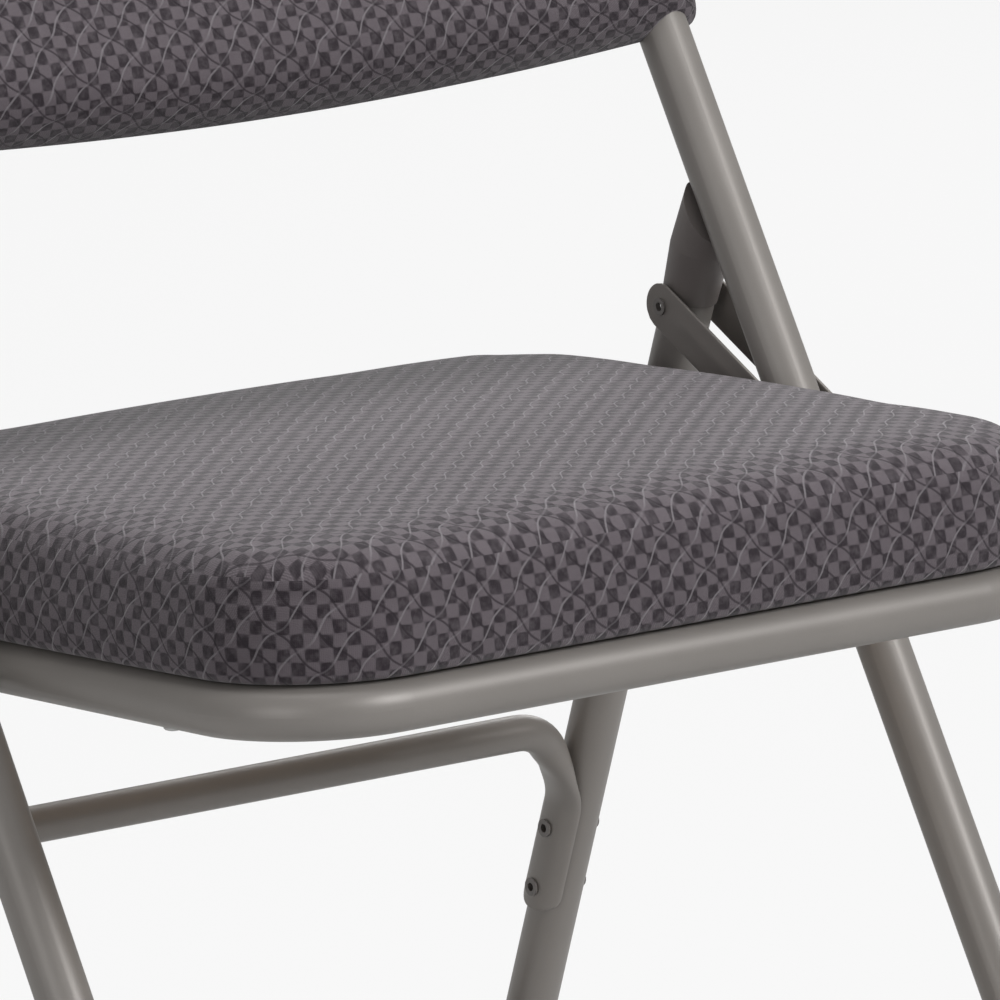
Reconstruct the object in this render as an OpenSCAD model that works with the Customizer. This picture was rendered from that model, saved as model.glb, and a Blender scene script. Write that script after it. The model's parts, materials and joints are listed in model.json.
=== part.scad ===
// Folding chair: round steel tube frame, padded seat and padded backrest.
// Millimetres, +Z up, the sitter faces -Y. The floor is z = 0, and the origin lies under
// the middle of the chair's footprint. Left and right are as seen from the front.

/* [Tubes] */
// Distance between the centres of the two uprights
tube_spacing = 447; // [370:1:540]
// Outer diameter of the uprights, rear legs and seat rails
tube_d = 22.2; // [18.5:0.1:26.7]
// Wall of every steel tube
tube_wall = 1.2; // [1:0.1:2]
// Outer diameter of the cross braces
brace_d = 15.9; // [12.7:0.1:19.1]

/* [Stance] */
// Height at which the uprights and the seat are set out
datum_h = 400; // [360:1:440]
// Backward lean of the uprights, in degrees from vertical
front_lean = 32.4; // [26:0.1:36]
// Forward lean of the rear legs, in degrees from vertical
rear_lean = 18.2; // [14:0.1:22]
// How far the rear legs' axes lie behind the uprights' axes at the datum height
leg_offset = 122.2; // [105:0.1:145]

/* [Pivots] */
// Height of the seat pivots on the uprights
seat_pivot_h = 394.5; // [380:0.5:405]
// Height of the rear pivots, where the seat rails meet the rear legs
rear_pivot_h = 384; // [370:0.5:395]
// Height of the link pivots on the rear legs
link_pivot_h = 470; // [455:0.5:485]
// Clearance between the uprights and the rear legs when folded
fold_clear = 3.3; // [2.4:0.1:15]
// Diameter of the pivot rivets' shanks
pivot_d = 8; // [6:0.1:9.6]
// Diameter of the link rivets' shanks
link_rivet_d = 5; // [4.5:0.1:8]

/* [Links] */
// Width of the link plates
link_w = 20; // [16:0.5:24]
// Thickness of the link plates
link_t = 1.5; // [1.2:0.1:2.5]
// Gap between a link plate and the surface of the tube beside it
link_gap = 2.4; // [2.1:0.1:4]

/* [Seat] */
// Distance from the seat pivots forward to the front tube's axis
seat_reach = 187; // [160:1:200]
// Length of the rails behind the rear pivots
rail_tail = 18; // [15:1:30]
// Bend radius of the seat frame's front corners, at the tube's centre
seat_bend_r = 52; // [40:1:90]
// Thickness of the seat cushion above the rails
cushion_h = 56; // [40:1:70]
// Distance from the seat pivots back to the cushion's rear edge
cushion_back = 186; // [160:1:200]
// Corner radius of the seat cushion
cushion_r = 62; // [45:1:80]
// Thickness of the seat board
board_t = 9; // [6:0.5:12]
// How far the seat board stays inside the cushion's edge
board_inset = 12; // [8:1:20]

/* [Backrest] */
// Distance along the uprights from the datum to the middle of the backrest's lower edge
back_start = 205; // [190:1:230]
// Height of the backrest along the uprights
back_len = 255; // [200:1:310]
// How far the backrest reaches past the uprights' axes on each side
back_over = 15; // [13:0.5:25]
// Padding in front of the uprights' axes
back_front = 21; // [18:0.5:30]
// Padding behind the uprights' axes
back_rear = 16; // [13:0.5:20]
// Corner radius of the backrest's outline
back_r = 20; // [8:1:60]
// How far the lower edge's middle hangs below its ends
back_sag = 10; // [4:1:20]
// Bend radius of the uprights' top corners, at the tube's centre
bow_bend_r = 60; // [45:1:90]
// Thickness of the backrest board
back_board_t = 5; // [3:0.5:6]
// How far the backrest board stays inside the padding at its top and bottom
back_board_inset = 26; // [15:1:40]

/* [Braces] */
// Height of the upper rear brace
upper_brace_h = 274; // [240:1:300]
// Height of the lower rear brace
lower_brace_h = 134; // [110:1:160]
// Height of the front brace
front_brace_h = 140; // [110:1:170]
// Bend radius of the braces, at the tube's centre
brace_bend_r = 24; // [18:1:36]
// Distance along the leg from a brace's bar to its first rivet
brace_drop = 53; // [48:1:70]
// Distance between the two rivets of a brace's end
brace_rivet_gap = 30; // [22:1:40]

/* [Feet] */
// Thickness of the rubber feet's walls
foot_wall = 2.4; // [1.2:0.1:6]
// Length of the rubber feet along the leg
foot_len = 34; // [25:1:50]

/* [Hidden] */
$fn = 48;

tube_r = tube_d / 2;
brace_r = brace_d / 2;
half_w = tube_spacing / 2;
foot_r = tube_r + foot_wall;
fold_gap = tube_d + fold_clear;   // between the uprights' and the rear legs' axes when folded
run_fit = 0.05;      // radial clearance of a rivet in its hole
seat_gap = 0.3;      // clearance between neighbours that only touch
side_play = 0.4;     // sideways play between the seat and the link rivets' heads
head_t = 0.9;        // thickness of a flat rivet head
head_over = 1.2;     // how far a rivet head reaches past its shank
rivet_hole_r = 1.9;  // hole through a tubular rivet
big = 400;           // cutting block

steel = [0.53, 0.51, 0.49];
dark_steel = [0.40, 0.38, 0.37];
fabric = [0.35, 0.33, 0.35];
rubber = [0.13, 0.13, 0.14];
timber = [0.72, 0.58, 0.40];
zinc = [0.70, 0.70, 0.70];

// Side view: points are [y, z], with y = 0 on the uprights' axes at the datum height
function on_upright(z) = [(z - datum_h) * tan(front_lean), z];
function on_leg(z) = [leg_offset - (z - datum_h) * tan(rear_lean), z];
up_main = [sin(front_lean), cos(front_lean)];
behind_main = [cos(front_lean), -sin(front_lean)];
seat_pivot = on_upright(seat_pivot_h);
rear_pivot = on_leg(rear_pivot_h);
link_pivot = on_leg(link_pivot_h);

// The front pivot of the links is the one point on the uprights that lets the seat, the links
// and the rear legs fold until the legs lie parallel to the uprights, fold_gap behind them
seat_span = norm(rear_pivot - seat_pivot);
leg_span = norm(link_pivot - rear_pivot);
link_up = (link_pivot - seat_pivot) * up_main;
link_behind = (link_pivot - seat_pivot) * behind_main;
leg_slip = leg_span - sqrt(seat_span * seat_span - fold_gap * fold_gap);
link_front_up = (link_up * link_up + link_behind * link_behind - fold_gap * fold_gap
                 - leg_slip * leg_slip) / (2 * (link_up - leg_slip));
link_front = seat_pivot + link_front_up * up_main;
link_vec = link_pivot - link_front;
link_len = norm(link_vec);
link_angle = atan2(link_vec[1], link_vec[0]);
seat_tilt = atan2(seat_pivot[1] - rear_pivot[1], rear_pivot[0] - seat_pivot[0]);
folded_link_angle = asin(fold_gap / link_len);

// Side to side: link plates beside the tubes, then the rivet heads, then the seat rails
link_face = tube_r + link_gap;
rail_outer = half_w - link_face - link_t - head_t - side_play;
rail_x = rail_outer - tube_r;
spacer_len = half_w - tube_r - rail_outer;
spacer_r = pivot_d / 2 + 2.5;

// Footprint: the front edge of the front feet and the rear edge of the rear feet at the floor
front_edge = -datum_h * tan(front_lean) - foot_r / cos(front_lean);
rear_edge = leg_offset + datum_h * tan(rear_lean) + foot_r / cos(rear_lean);
centre_y = (front_edge + rear_edge) / 2;

// Lengths along the uprights from the datum, and along the rear legs from the link pivots
main_bottom = -datum_h / cos(front_lean);
leg_bottom = -link_pivot_h / cos(rear_lean);
foot_floor = 2.5;    // rubber under a tube's lowest point
function tube_start(lean) = (foot_floor + tube_r * sin(lean)) / cos(lean);
bow_top = back_start + back_len - tube_r - 12;
bow_side = bow_top - bow_bend_r;

// Rear cap: it meets the back of the upright along a flat that is parallel to it
lean_sum = front_lean + rear_lean;
cap_start = 3.5;
cap_seam = 27;
cap_end = 53;
cap_r = link_face - seat_gap;
cap_lip_r = tube_r + 0.9;
cap_tip_r = tube_r + 0.6;
cap_wall = 1.2;
leg_end = (link_behind - tube_r - seat_gap - cap_wall - tube_r * cos(lean_sum)) / sin(lean_sum);

// Seat cushion and board, in the seat's own frame: x, y back from the pivots, z above the rails' axes
cushion_half = rail_outer - 0.2;
cushion_front = -seat_reach - tube_r;
cushion_bottom = tube_r + seat_gap;
cushion_step = 10;   // the crown stands on a slab of the full outline
board_top = cushion_bottom + board_t;
seat_screw_y = [-110, 60];
screw_r = 2.5;
nut_r = 4;
nut_flange_r = 8;
nut_flange_t = 1.2;

back_half = half_w + back_over;
back_top = back_start + back_len;
back_side_start = back_start + back_sag;
back_screw_up = [back_start + 50, back_start + 150];
back_board_gap = 0.2;
back_board_half = half_w + 7;   // past the screws, which pass through the uprights

brace_tab_t = 3.2;
brace_tab_w = 22;
brace_rivet_r = 2.8;
brace_tab_end = 10;

// ---- Placing ----

// Puts its children, drawn in side-view places, over the chair's footprint
module placed() {
    translate([0, -centre_y, 0]) children();
}

// Local z runs up an upright from the datum, local y points behind it
module main_space() {
    placed() translate([0, 0, datum_h]) rotate([-front_lean, 0, 0]) children();
}

// Local z runs up a rear leg from the link pivot
module leg_space() {
    placed() translate([0, link_pivot[0], link_pivot[1]]) rotate([rear_lean, 0, 0]) children();
}

// Local y runs along the seat rails from the seat pivots to the rear
module seat_space() {
    placed() translate([0, seat_pivot[0], seat_pivot[1]]) rotate([-seat_tilt, 0, 0]) children();
}

// Local z is the chair's x, at a side-view point
module at_pivot(p) {
    placed() translate([0, p[0], p[1]]) rotate([0, 90, 0]) children();
}

// ---- Shapes ----

module ring_2d(r, wall) {
    difference() {
        circle(r);
        circle(r - wall);
    }
}

module tube(r, wall, len) {
    linear_extrude(len) ring_2d(r, wall);
}

// A quarter bend in the local xy plane: it starts at [bend_r, 0] and ends at [0, bend_r]
module bend(r, wall, bend_r) {
    rotate_extrude(angle = 90) translate([bend_r, 0]) ring_2d(r, wall);
}

// An outline with round corners, from x0 to x1 and y0 to y1
module round_outline(x0, x1, y0, y1, r) {
    translate([x0 + r, y0]) square([x1 - x0 - 2 * r, y1 - y0]);
    translate([x0, y0 + r]) square([x1 - x0, y1 - y0 - 2 * r]);
    for (x = [x0 + r, x1 - r])
        for (y = [y0 + r, y1 - r])
            translate([x, y]) circle(r);
}

// A hole along the chair's x through the wall or walls between x0 and x1
module cross_hole(r, x0, x1) {
    rotate([0, 90, 0]) translate([0, 0, x0]) cylinder(r = r, h = x1 - x0);
}

// A tubular rivet along local z, with flat heads outside z0 and z1
module rivet(r, z0, z1) {
    difference() {
        union() {
            translate([0, 0, z0]) cylinder(r = r, h = z1 - z0);
            translate([0, 0, z0 - head_t]) cylinder(r = r + head_over, h = head_t);
            translate([0, 0, z1]) cylinder(r = r + head_over, h = head_t);
        }
        translate([0, 0, z0 - head_t - 1]) cylinder(r = rivet_hole_r, h = z1 - z0 + 2 * head_t + 2);
    }
}

module washer(r_in, r_out, h) {
    difference() {
        cylinder(r = r_out, h = h);
        translate([0, 0, -1]) cylinder(r = r_in, h = h + 2);
    }
}

// A rubber foot on the end of a leg. Local z runs up the leg from the floor point
module foot_shape(start) {
    difference() {
        translate([0, 0, -foot_len]) cylinder(r = foot_r, h = 2 * foot_len);
        translate([0, 0, start]) cylinder(r = tube_r + run_fit, h = 2 * foot_len);
    }
}

module above_floor() {
    intersection() {
        children();
        translate([-big, -big, 0]) cube([2 * big, 2 * big, big]);
    }
}

// ---- Main frame ----

// One tube: up one side, over the top inside the backrest, and down the other side
module main_frame() {
    start = main_bottom + tube_start(front_lean);
    brace_rivets_up = (front_brace_h - datum_h) / cos(front_lean) - brace_drop;
    color(steel) main_space() difference() {
        union() {
            for (side = [-1, 1])
                translate([side * half_w, 0, start]) tube(tube_r, tube_wall, bow_side - start);
            for (side = [-1, 1])
                translate([side * (half_w - bow_bend_r), 0, bow_side])
                    mirror([side < 0 ? 1 : 0, 0, 0]) rotate([90, 0, 0])
                        bend(tube_r, tube_wall, bow_bend_r);
            translate([-(half_w - bow_bend_r), 0, bow_top]) rotate([0, 90, 0])
                tube(tube_r, tube_wall, 2 * (half_w - bow_bend_r));
        }
        for (side = [-1, 1]) {
            translate([0, 0, (seat_pivot_h - datum_h) / cos(front_lean)])
                cross_hole(pivot_d / 2 + run_fit, side * half_w - 20, side * half_w + 20);
            translate([0, 0, (link_front[1] - datum_h) / cos(front_lean)])
                cross_hole(link_rivet_d / 2 + run_fit, side * half_w - 20, side * half_w + 20);
            for (k = [0, 1])
                translate([0, 0, brace_rivets_up - k * brace_rivet_gap])
                    cross_hole(brace_rivet_r + run_fit, side * half_w - 20, side * half_w + 20);
            for (up = back_screw_up)
                translate([side * half_w, -20, up]) rotate([-90, 0, 0]) cylinder(r = screw_r + run_fit, h = 40);
        }
    }
}

// Half a cross brace, drawn for +x. Local z runs up the leg from the bar's axis. The bar runs from
// the middle, turns down beside the leg and ends in a flattened tab with two rivet holes
module brace_half() {
    tab_x = half_w - tube_r - brace_tab_t - seat_gap;
    down_x = half_w - tube_r - seat_gap - brace_r;
    tab_top = -brace_drop + 16;
    tab_bottom = -brace_drop - brace_rivet_gap - brace_tab_end;
    rotate([0, 90, 0]) tube(brace_r, tube_wall, down_x - brace_bend_r);
    translate([down_x - brace_bend_r, 0, -brace_bend_r]) rotate([90, 0, 0])
        bend(brace_r, tube_wall, brace_bend_r);
    hull() {
        translate([down_x, 0, -brace_bend_r - 1]) cylinder(r = brace_r, h = 1, $fn = 32);
        translate([tab_x, -brace_tab_w / 2, tab_top]) cube([brace_tab_t, brace_tab_w, 1]);
    }
    difference() {
        union() {
            translate([tab_x, -brace_tab_w / 2, tab_bottom + brace_tab_end])
                cube([brace_tab_t, brace_tab_w, tab_top - tab_bottom - brace_tab_end]);
            translate([tab_x, 0, tab_bottom + brace_tab_end]) rotate([0, 90, 0])
                cylinder(r = brace_tab_w / 2, h = brace_tab_t);
        }
        for (k = [0, 1])
            translate([0, 0, -brace_drop - k * brace_rivet_gap])
                cross_hole(brace_rivet_r + run_fit, tab_x - 1, tab_x + brace_tab_t + 1);
    }
}

module brace() {
    for (side = [0, 1])
        mirror([side, 0, 0]) brace_half();
}

// Two rivets through each end of a brace and through both walls of the leg
module brace_rivets() {
    for (side = [-1, 1])
        for (k = [0, 1])
            translate([0, 0, -brace_drop - k * brace_rivet_gap]) rotate([0, side * 90, 0])
                rivet(brace_rivet_r, half_w - tube_r - seat_gap - brace_tab_t, half_w + tube_r + 0.1);
}

module front_brace_space() {
    main_space() translate([0, 0, (front_brace_h - datum_h) / cos(front_lean)]) children();
}

module front_brace() {
    color(steel) front_brace_space() brace();
}

module front_brace_rivets() {
    color(dark_steel) front_brace_space() brace_rivets();
}

module front_foot(side) {
    color(rubber) placed() above_floor() translate([side * half_w, -datum_h * tan(front_lean), 0])
        rotate([-front_lean, 0, 0]) foot_shape(tube_start(front_lean));
}

// Rivet through the upright and the seat rail
module seat_pivot_rivet(side) {
    color(dark_steel) at_pivot(seat_pivot) rotate([0, side < 0 ? 180 : 0, 0])
        rivet(pivot_d / 2, rail_x - tube_r - 0.1, half_w + tube_r + 0.1);
}

module pivot_spacers(p) {
    color(zinc) at_pivot(p) for (side = [-1, 1])
        rotate([0, side < 0 ? 180 : 0, 0]) translate([0, 0, rail_outer + 0.1])
            washer(pivot_d / 2 + run_fit, spacer_r, spacer_len - 0.2);
}

module link_front_rivet(side) {
    color(dark_steel) at_pivot(link_front) rotate([0, side < 0 ? 180 : 0, 0])
        rivet(link_rivet_d / 2, half_w - link_face - link_t - 0.1, half_w + link_face + link_t + 0.1);
}

module link_front_washers() {
    color(zinc) at_pivot(link_front) for (side = [-1, 1]) for (face = [-1, 1])
        translate([0, 0, side * half_w + face * (tube_r + link_gap / 2) - (link_gap - 0.2) / 2])
            washer(link_rivet_d / 2 + run_fit, link_rivet_d / 2 + 4, link_gap - 0.2);
}

// ---- Backrest ----

// Outline of the backrest in the uprights' plane, with a lower edge that hangs in the middle
module back_outline(inset) {
    half = back_half - inset;
    low = back_side_start + inset;
    sag_half = half - back_r;
    sag_r = (sag_half * sag_half + back_sag * back_sag) / (2 * back_sag);
    round_outline(-half, half, low, back_top - inset, back_r);
    intersection() {
        translate([0, low - back_sag + sag_r]) circle(sag_r, $fn = 360);
        translate([-sag_half, low - back_sag - 1]) square([2 * sag_half, back_sag + 20]);
    }
}

// A slab in the uprights' plane, from y0 to y1 behind their axes
module back_slab(inset, y0, y1) {
    translate([0, y1, 0]) rotate([90, 0, 0]) linear_extrude(y1 - y0) back_outline(inset);
}

module back_board_outline(grow) {
    round_outline(-back_board_half - grow, back_board_half + grow,
                  back_side_start + back_board_inset - grow, back_top - back_board_inset + grow, 20 + grow);
}

module backrest_board() {
    y1 = -tube_r - back_board_gap;
    color(timber) main_space() difference() {
        translate([0, y1, 0]) rotate([90, 0, 0]) linear_extrude(back_board_t) back_board_outline(0);
        for (side = [-1, 1]) for (up = back_screw_up)
            translate([side * half_w, y1 + 1, up]) rotate([90, 0, 0])
                cylinder(r = screw_r + run_fit, h = back_board_t + 2);
    }
}

// Screws from behind, through both walls of the uprights into the board
module backrest_screws() {
    color(zinc) main_space() for (side = [-1, 1]) for (up = back_screw_up)
        translate([side * half_w, 0, up]) rotate([90, 0, 0]) {
            translate([0, 0, -tube_r - 0.1]) cylinder(r = screw_r, h = 2 * tube_r + back_board_t + 0.3);
            translate([0, 0, -tube_r - 1.6]) cylinder(r = 4.5, h = 1.5);
        }
}

// The room inside the padding for the uprights, the bow, the board and the screws' heads
module back_room() {
    r = tube_r + seat_gap;
    for (side = [-1, 1])
        translate([side * half_w, 0, back_start - 20]) cylinder(r = r, h = bow_side - back_start + 20);
    for (side = [-1, 1])
        translate([side * (half_w - bow_bend_r), 0, bow_side])
            mirror([side < 0 ? 1 : 0, 0, 0]) rotate([90, 0, 0])
                rotate_extrude(angle = 90) translate([bow_bend_r, 0]) circle(r);
    translate([-(half_w - bow_bend_r), 0, bow_top]) rotate([0, 90, 0])
        cylinder(r = r, h = 2 * (half_w - bow_bend_r));
    rotate([90, 0, 0]) linear_extrude(tube_r + back_board_t + 1) back_board_outline(1);
    for (side = [-1, 1]) for (up = back_screw_up)
        translate([side * half_w, 0, up]) rotate([-90, 0, 0]) cylinder(r = 5.2, h = tube_r + 2.2);
}

module backrest_cushion() {
    color(fabric) main_space() difference() {
        union() {
            back_slab(5, -back_front, back_rear);
            back_slab(0, -back_front + 6, back_rear - 5);
        }
        back_room();
    }
}

// ---- Seat ----

// One tube: forward along one rail, across the front and back along the other rail
module seat_frame() {
    tail = seat_span + rail_tail;
    straight = -seat_reach + seat_bend_r;
    color(steel) seat_space() difference() {
        union() {
            for (side = [-1, 1])
                translate([side * rail_x, straight, 0]) rotate([-90, 0, 0])
                    tube(tube_r, tube_wall, tail - straight);
            for (side = [-1, 1])
                translate([side * (rail_x - seat_bend_r), straight, 0])
                    mirror([side < 0 ? 1 : 0, 0, 0]) mirror([0, 1, 0])
                        bend(tube_r, tube_wall, seat_bend_r);
            translate([-(rail_x - seat_bend_r), -seat_reach, 0]) rotate([0, 90, 0])
                tube(tube_r, tube_wall, 2 * (rail_x - seat_bend_r));
        }
        for (side = [-1, 1]) {
            for (y = [0, seat_span])
                translate([0, y, 0])
                    cross_hole(pivot_d / 2 + run_fit, side * rail_x - 20, side * rail_x + 20);
            for (y = seat_screw_y)
                translate([side * rail_x, y, -20]) cylinder(r = screw_r + run_fit, h = 40);
        }
    }
}

// Plastic plugs in the open rear ends of the rails
module seat_rail_plugs() {
    color(rubber) seat_space() for (side = [-1, 1])
        translate([side * rail_x, seat_span + rail_tail, 0]) rotate([-90, 0, 0]) {
            translate([0, 0, -8]) cylinder(r = tube_r - tube_wall - run_fit, h = 8);
            cylinder(r = tube_r, h = 2);
        }
}

module seat_outline(inset) {
    round_outline(-cushion_half + inset, cushion_half - inset, cushion_front + inset,
                  cushion_back - inset, cushion_r - inset);
}

module seat_board() {
    color(timber) seat_space() difference() {
        translate([0, 0, cushion_bottom]) linear_extrude(board_t) seat_outline(board_inset);
        for (side = [-1, 1]) for (y = seat_screw_y)
            translate([side * rail_x, y, 0]) cylinder(r = nut_r + run_fit, h = 2 * board_top);
    }
}

// Tee nuts pressed into the board from above
module seat_tee_nuts() {
    color(zinc) seat_space() for (side = [-1, 1]) for (y = seat_screw_y)
        translate([side * rail_x, y, cushion_bottom + 0.5]) difference() {
            union() {
                cylinder(r = nut_r, h = board_t - 0.5);
                translate([0, 0, board_t - 0.4]) cylinder(r = nut_flange_r, h = nut_flange_t);
                translate([0, 0, board_t - 0.6]) cylinder(r = nut_r, h = 0.5);
            }
            translate([0, 0, -1]) cylinder(r = screw_r + run_fit, h = board_t + 4);
        }
}

// Screws from below, through the rails into the tee nuts
module seat_screws() {
    color(zinc) seat_space() for (side = [-1, 1]) for (y = seat_screw_y)
        translate([side * rail_x, y, 0]) {
            translate([0, 0, -tube_r - 0.1]) cylinder(r = screw_r, h = tube_r + 0.1 + board_top);
            translate([0, 0, -tube_r - 2.1]) cylinder(r = 4.5, h = 2);
        }
}

module seat_cushion() {
    crown_inset = 14;
    color(fabric) seat_space() difference() {
        union() {
            translate([0, 0, cushion_bottom]) linear_extrude(cushion_h - cushion_step) seat_outline(0);
            translate([0, 0, cushion_bottom]) linear_extrude(cushion_h) seat_outline(crown_inset);
        }
        translate([0, 0, cushion_bottom - 1]) linear_extrude(board_t + 1 + seat_gap)
            seat_outline(board_inset - seat_gap);
        for (side = [-1, 1]) for (y = seat_screw_y)
            translate([side * rail_x, y, 0]) cylinder(r = nut_flange_r + 0.5, h = board_top + 2);
    }
}

// ---- Rear legs ----

module rear_leg(side) {
    start = leg_bottom + tube_start(rear_lean);
    upper_rivets = (upper_brace_h - link_pivot_h) / cos(rear_lean) - brace_drop;
    lower_rivets = (lower_brace_h - link_pivot_h) / cos(rear_lean) - brace_drop;
    color(steel) leg_space() difference() {
        translate([side * half_w, 0, start]) tube(tube_r, tube_wall, leg_end - start);
        cross_hole(link_rivet_d / 2 + run_fit, side * half_w - 20, side * half_w + 20);
        translate([0, 0, -leg_span])
            cross_hole(pivot_d / 2 + run_fit, side * half_w - 20, side * half_w + 20);
        for (up = [upper_rivets, lower_rivets]) for (k = [0, 1])
            translate([0, 0, up - k * brace_rivet_gap])
                cross_hole(brace_rivet_r + run_fit, side * half_w - 20, side * half_w + 20);
    }
}

// Cap over the top of a rear leg, cut flat where it rests on the back of the upright
module rear_cap(side) {
    color(dark_steel) difference() {
        leg_space() translate([side * half_w, 0, 0]) difference() {
            rotate_extrude()
                polygon([[0, cap_start], [cap_lip_r, cap_start], [cap_r, cap_seam], [cap_tip_r, cap_end],
                         [cap_tip_r - 3, cap_end + 2], [0, cap_end + 2]]);
            translate([0, 0, cap_start - 1]) cylinder(r = tube_r + run_fit, h = leg_end - cap_start + 1.1);
        }
        main_space() translate([-big, -big + tube_r + seat_gap, -big]) cube([2 * big, big, 2 * big]);
    }
}

module rear_foot(side) {
    color(rubber) placed() above_floor()
        translate([side * half_w, leg_offset + datum_h * tan(rear_lean), 0])
            rotate([rear_lean, 0, 0]) foot_shape(tube_start(rear_lean));
}

module rear_brace_space(h) {
    leg_space() translate([0, 0, (h - link_pivot_h) / cos(rear_lean)]) children();
}

module upper_rear_brace() {
    color(steel) rear_brace_space(upper_brace_h) brace();
}

module lower_rear_brace() {
    color(steel) rear_brace_space(lower_brace_h) brace();
}

module rear_brace_rivets() {
    color(dark_steel) for (h = [upper_brace_h, lower_brace_h]) rear_brace_space(h) brace_rivets();
}

// Rivet through the rear leg and the seat rail
module rear_pivot_rivet(side) {
    color(dark_steel) at_pivot(rear_pivot) rotate([0, side < 0 ? 180 : 0, 0])
        rivet(pivot_d / 2, rail_x - tube_r - 0.1, half_w + tube_r + 0.1);
}

// ---- Links ----

// Outline of a link plate: x runs from the front pivot to the rear one. The scallop goes round
// the seat pivot's spacer when the chair is folded
module link_outline() {
    scallop = [link_front_up * cos(folded_link_angle), -link_front_up * sin(folded_link_angle)];
    difference() {
        union() {
            circle(link_w / 2);
            translate([link_len, 0]) circle(link_w / 2);
            translate([0, -link_w / 2]) square([link_len, link_w]);
        }
        circle(link_rivet_d / 2 + run_fit);
        translate([link_len, 0]) circle(link_rivet_d / 2 + run_fit);
        translate(scallop) circle(spacer_r + 1);
    }
}

// A link plate, inboard (face = -1) or outboard (face = 1) of the tubes on one side of the chair
module link_plate(side, face) {
    x = side * (half_w + face * link_face) + (side * face > 0 ? 0 : -link_t);
    color(steel) placed() translate([x, link_front[0], link_front[1]])
        rotate([link_angle, 0, 0]) rotate([90, 0, 90]) linear_extrude(link_t) link_outline();
}

// The rear rivet's two heads, each held in its own plate
module link_rear_rivets(side) {
    color(dark_steel) at_pivot(link_pivot) for (face = [-1, 1])
        translate([0, 0, side * half_w + face * side * (link_face + link_t / 2)])
            difference() {
                union() {
                    translate([0, 0, -link_t / 2]) cylinder(r = link_rivet_d / 2, h = link_t);
                    translate([0, 0, face * side * (link_t / 2 + 0.1 + head_t / 2) - head_t / 2])
                        cylinder(r = link_rivet_d / 2 + head_over, h = head_t);
                    translate([0, 0, face * side * (link_t / 2) - 0.3]) cylinder(r = link_rivet_d / 2, h = 0.6);
                }
                translate([0, 0, -link_t - head_t - 1]) cylinder(r = rivet_hole_r, h = 2 * (link_t + head_t + 1));
            }
}

main_frame();
front_brace();
front_brace_rivets();
front_foot(-1);  // front_foot_left
front_foot(1);  // front_foot_right
seat_pivot_rivet(-1);  // seat_pivot_rivet_left
seat_pivot_rivet(1);  // seat_pivot_rivet_right
pivot_spacers(seat_pivot);  // seat_pivot_spacers
link_front_rivet(-1);  // link_front_rivet_left
link_front_rivet(1);  // link_front_rivet_right
link_front_washers();
backrest_board();
backrest_screws();
backrest_cushion();
seat_frame();
seat_rail_plugs();
seat_board();
seat_tee_nuts();
seat_screws();
seat_cushion();
rear_leg(-1);  // rear_leg_left
rear_leg(1);  // rear_leg_right
rear_cap(-1);  // rear_cap_left
rear_cap(1);  // rear_cap_right
rear_foot(-1);  // rear_foot_left
rear_foot(1);  // rear_foot_right
upper_rear_brace();
lower_rear_brace();
rear_brace_rivets();
rear_pivot_rivet(-1);  // rear_pivot_rivet_left
rear_pivot_rivet(1);  // rear_pivot_rivet_right
pivot_spacers(rear_pivot);  // rear_pivot_spacers
link_plate(-1, -1);  // link_left_inner_plate
link_plate(-1, 1);  // link_left_outer_plate
link_rear_rivets(-1);  // link_left_rear_rivets
link_plate(1, -1);  // link_right_inner_plate
link_plate(1, 1);  // link_right_outer_plate
link_rear_rivets(1);  // link_right_rear_rivets
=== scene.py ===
"""Looks of a folding chair: painted steel tubes, a padded seat and a padded backrest in a woven cover."""
import json
import logging
import math
from dataclasses import dataclass, field
from enum import Enum
from typing import Callable, Sequence

import bpy
import numpy as np
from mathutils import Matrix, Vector


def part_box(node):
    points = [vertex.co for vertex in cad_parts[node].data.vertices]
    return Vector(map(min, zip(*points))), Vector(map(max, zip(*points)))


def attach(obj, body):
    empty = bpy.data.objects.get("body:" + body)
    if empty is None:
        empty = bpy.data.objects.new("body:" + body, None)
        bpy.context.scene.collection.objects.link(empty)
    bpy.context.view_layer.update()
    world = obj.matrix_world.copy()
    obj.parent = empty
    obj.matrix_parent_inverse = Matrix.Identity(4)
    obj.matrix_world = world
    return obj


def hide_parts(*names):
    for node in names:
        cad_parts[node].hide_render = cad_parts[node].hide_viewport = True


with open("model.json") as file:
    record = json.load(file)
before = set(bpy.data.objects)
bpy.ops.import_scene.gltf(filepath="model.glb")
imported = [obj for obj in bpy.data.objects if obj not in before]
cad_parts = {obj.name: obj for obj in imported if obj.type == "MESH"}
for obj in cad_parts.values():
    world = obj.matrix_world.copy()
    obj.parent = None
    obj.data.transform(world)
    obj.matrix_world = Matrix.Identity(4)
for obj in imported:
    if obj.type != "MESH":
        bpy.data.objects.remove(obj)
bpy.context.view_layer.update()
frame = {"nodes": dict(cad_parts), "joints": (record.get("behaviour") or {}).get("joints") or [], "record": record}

log = logging.getLogger("folding_chair")
MM = 0.001


# ---- Places, worked out from the frame ----

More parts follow.
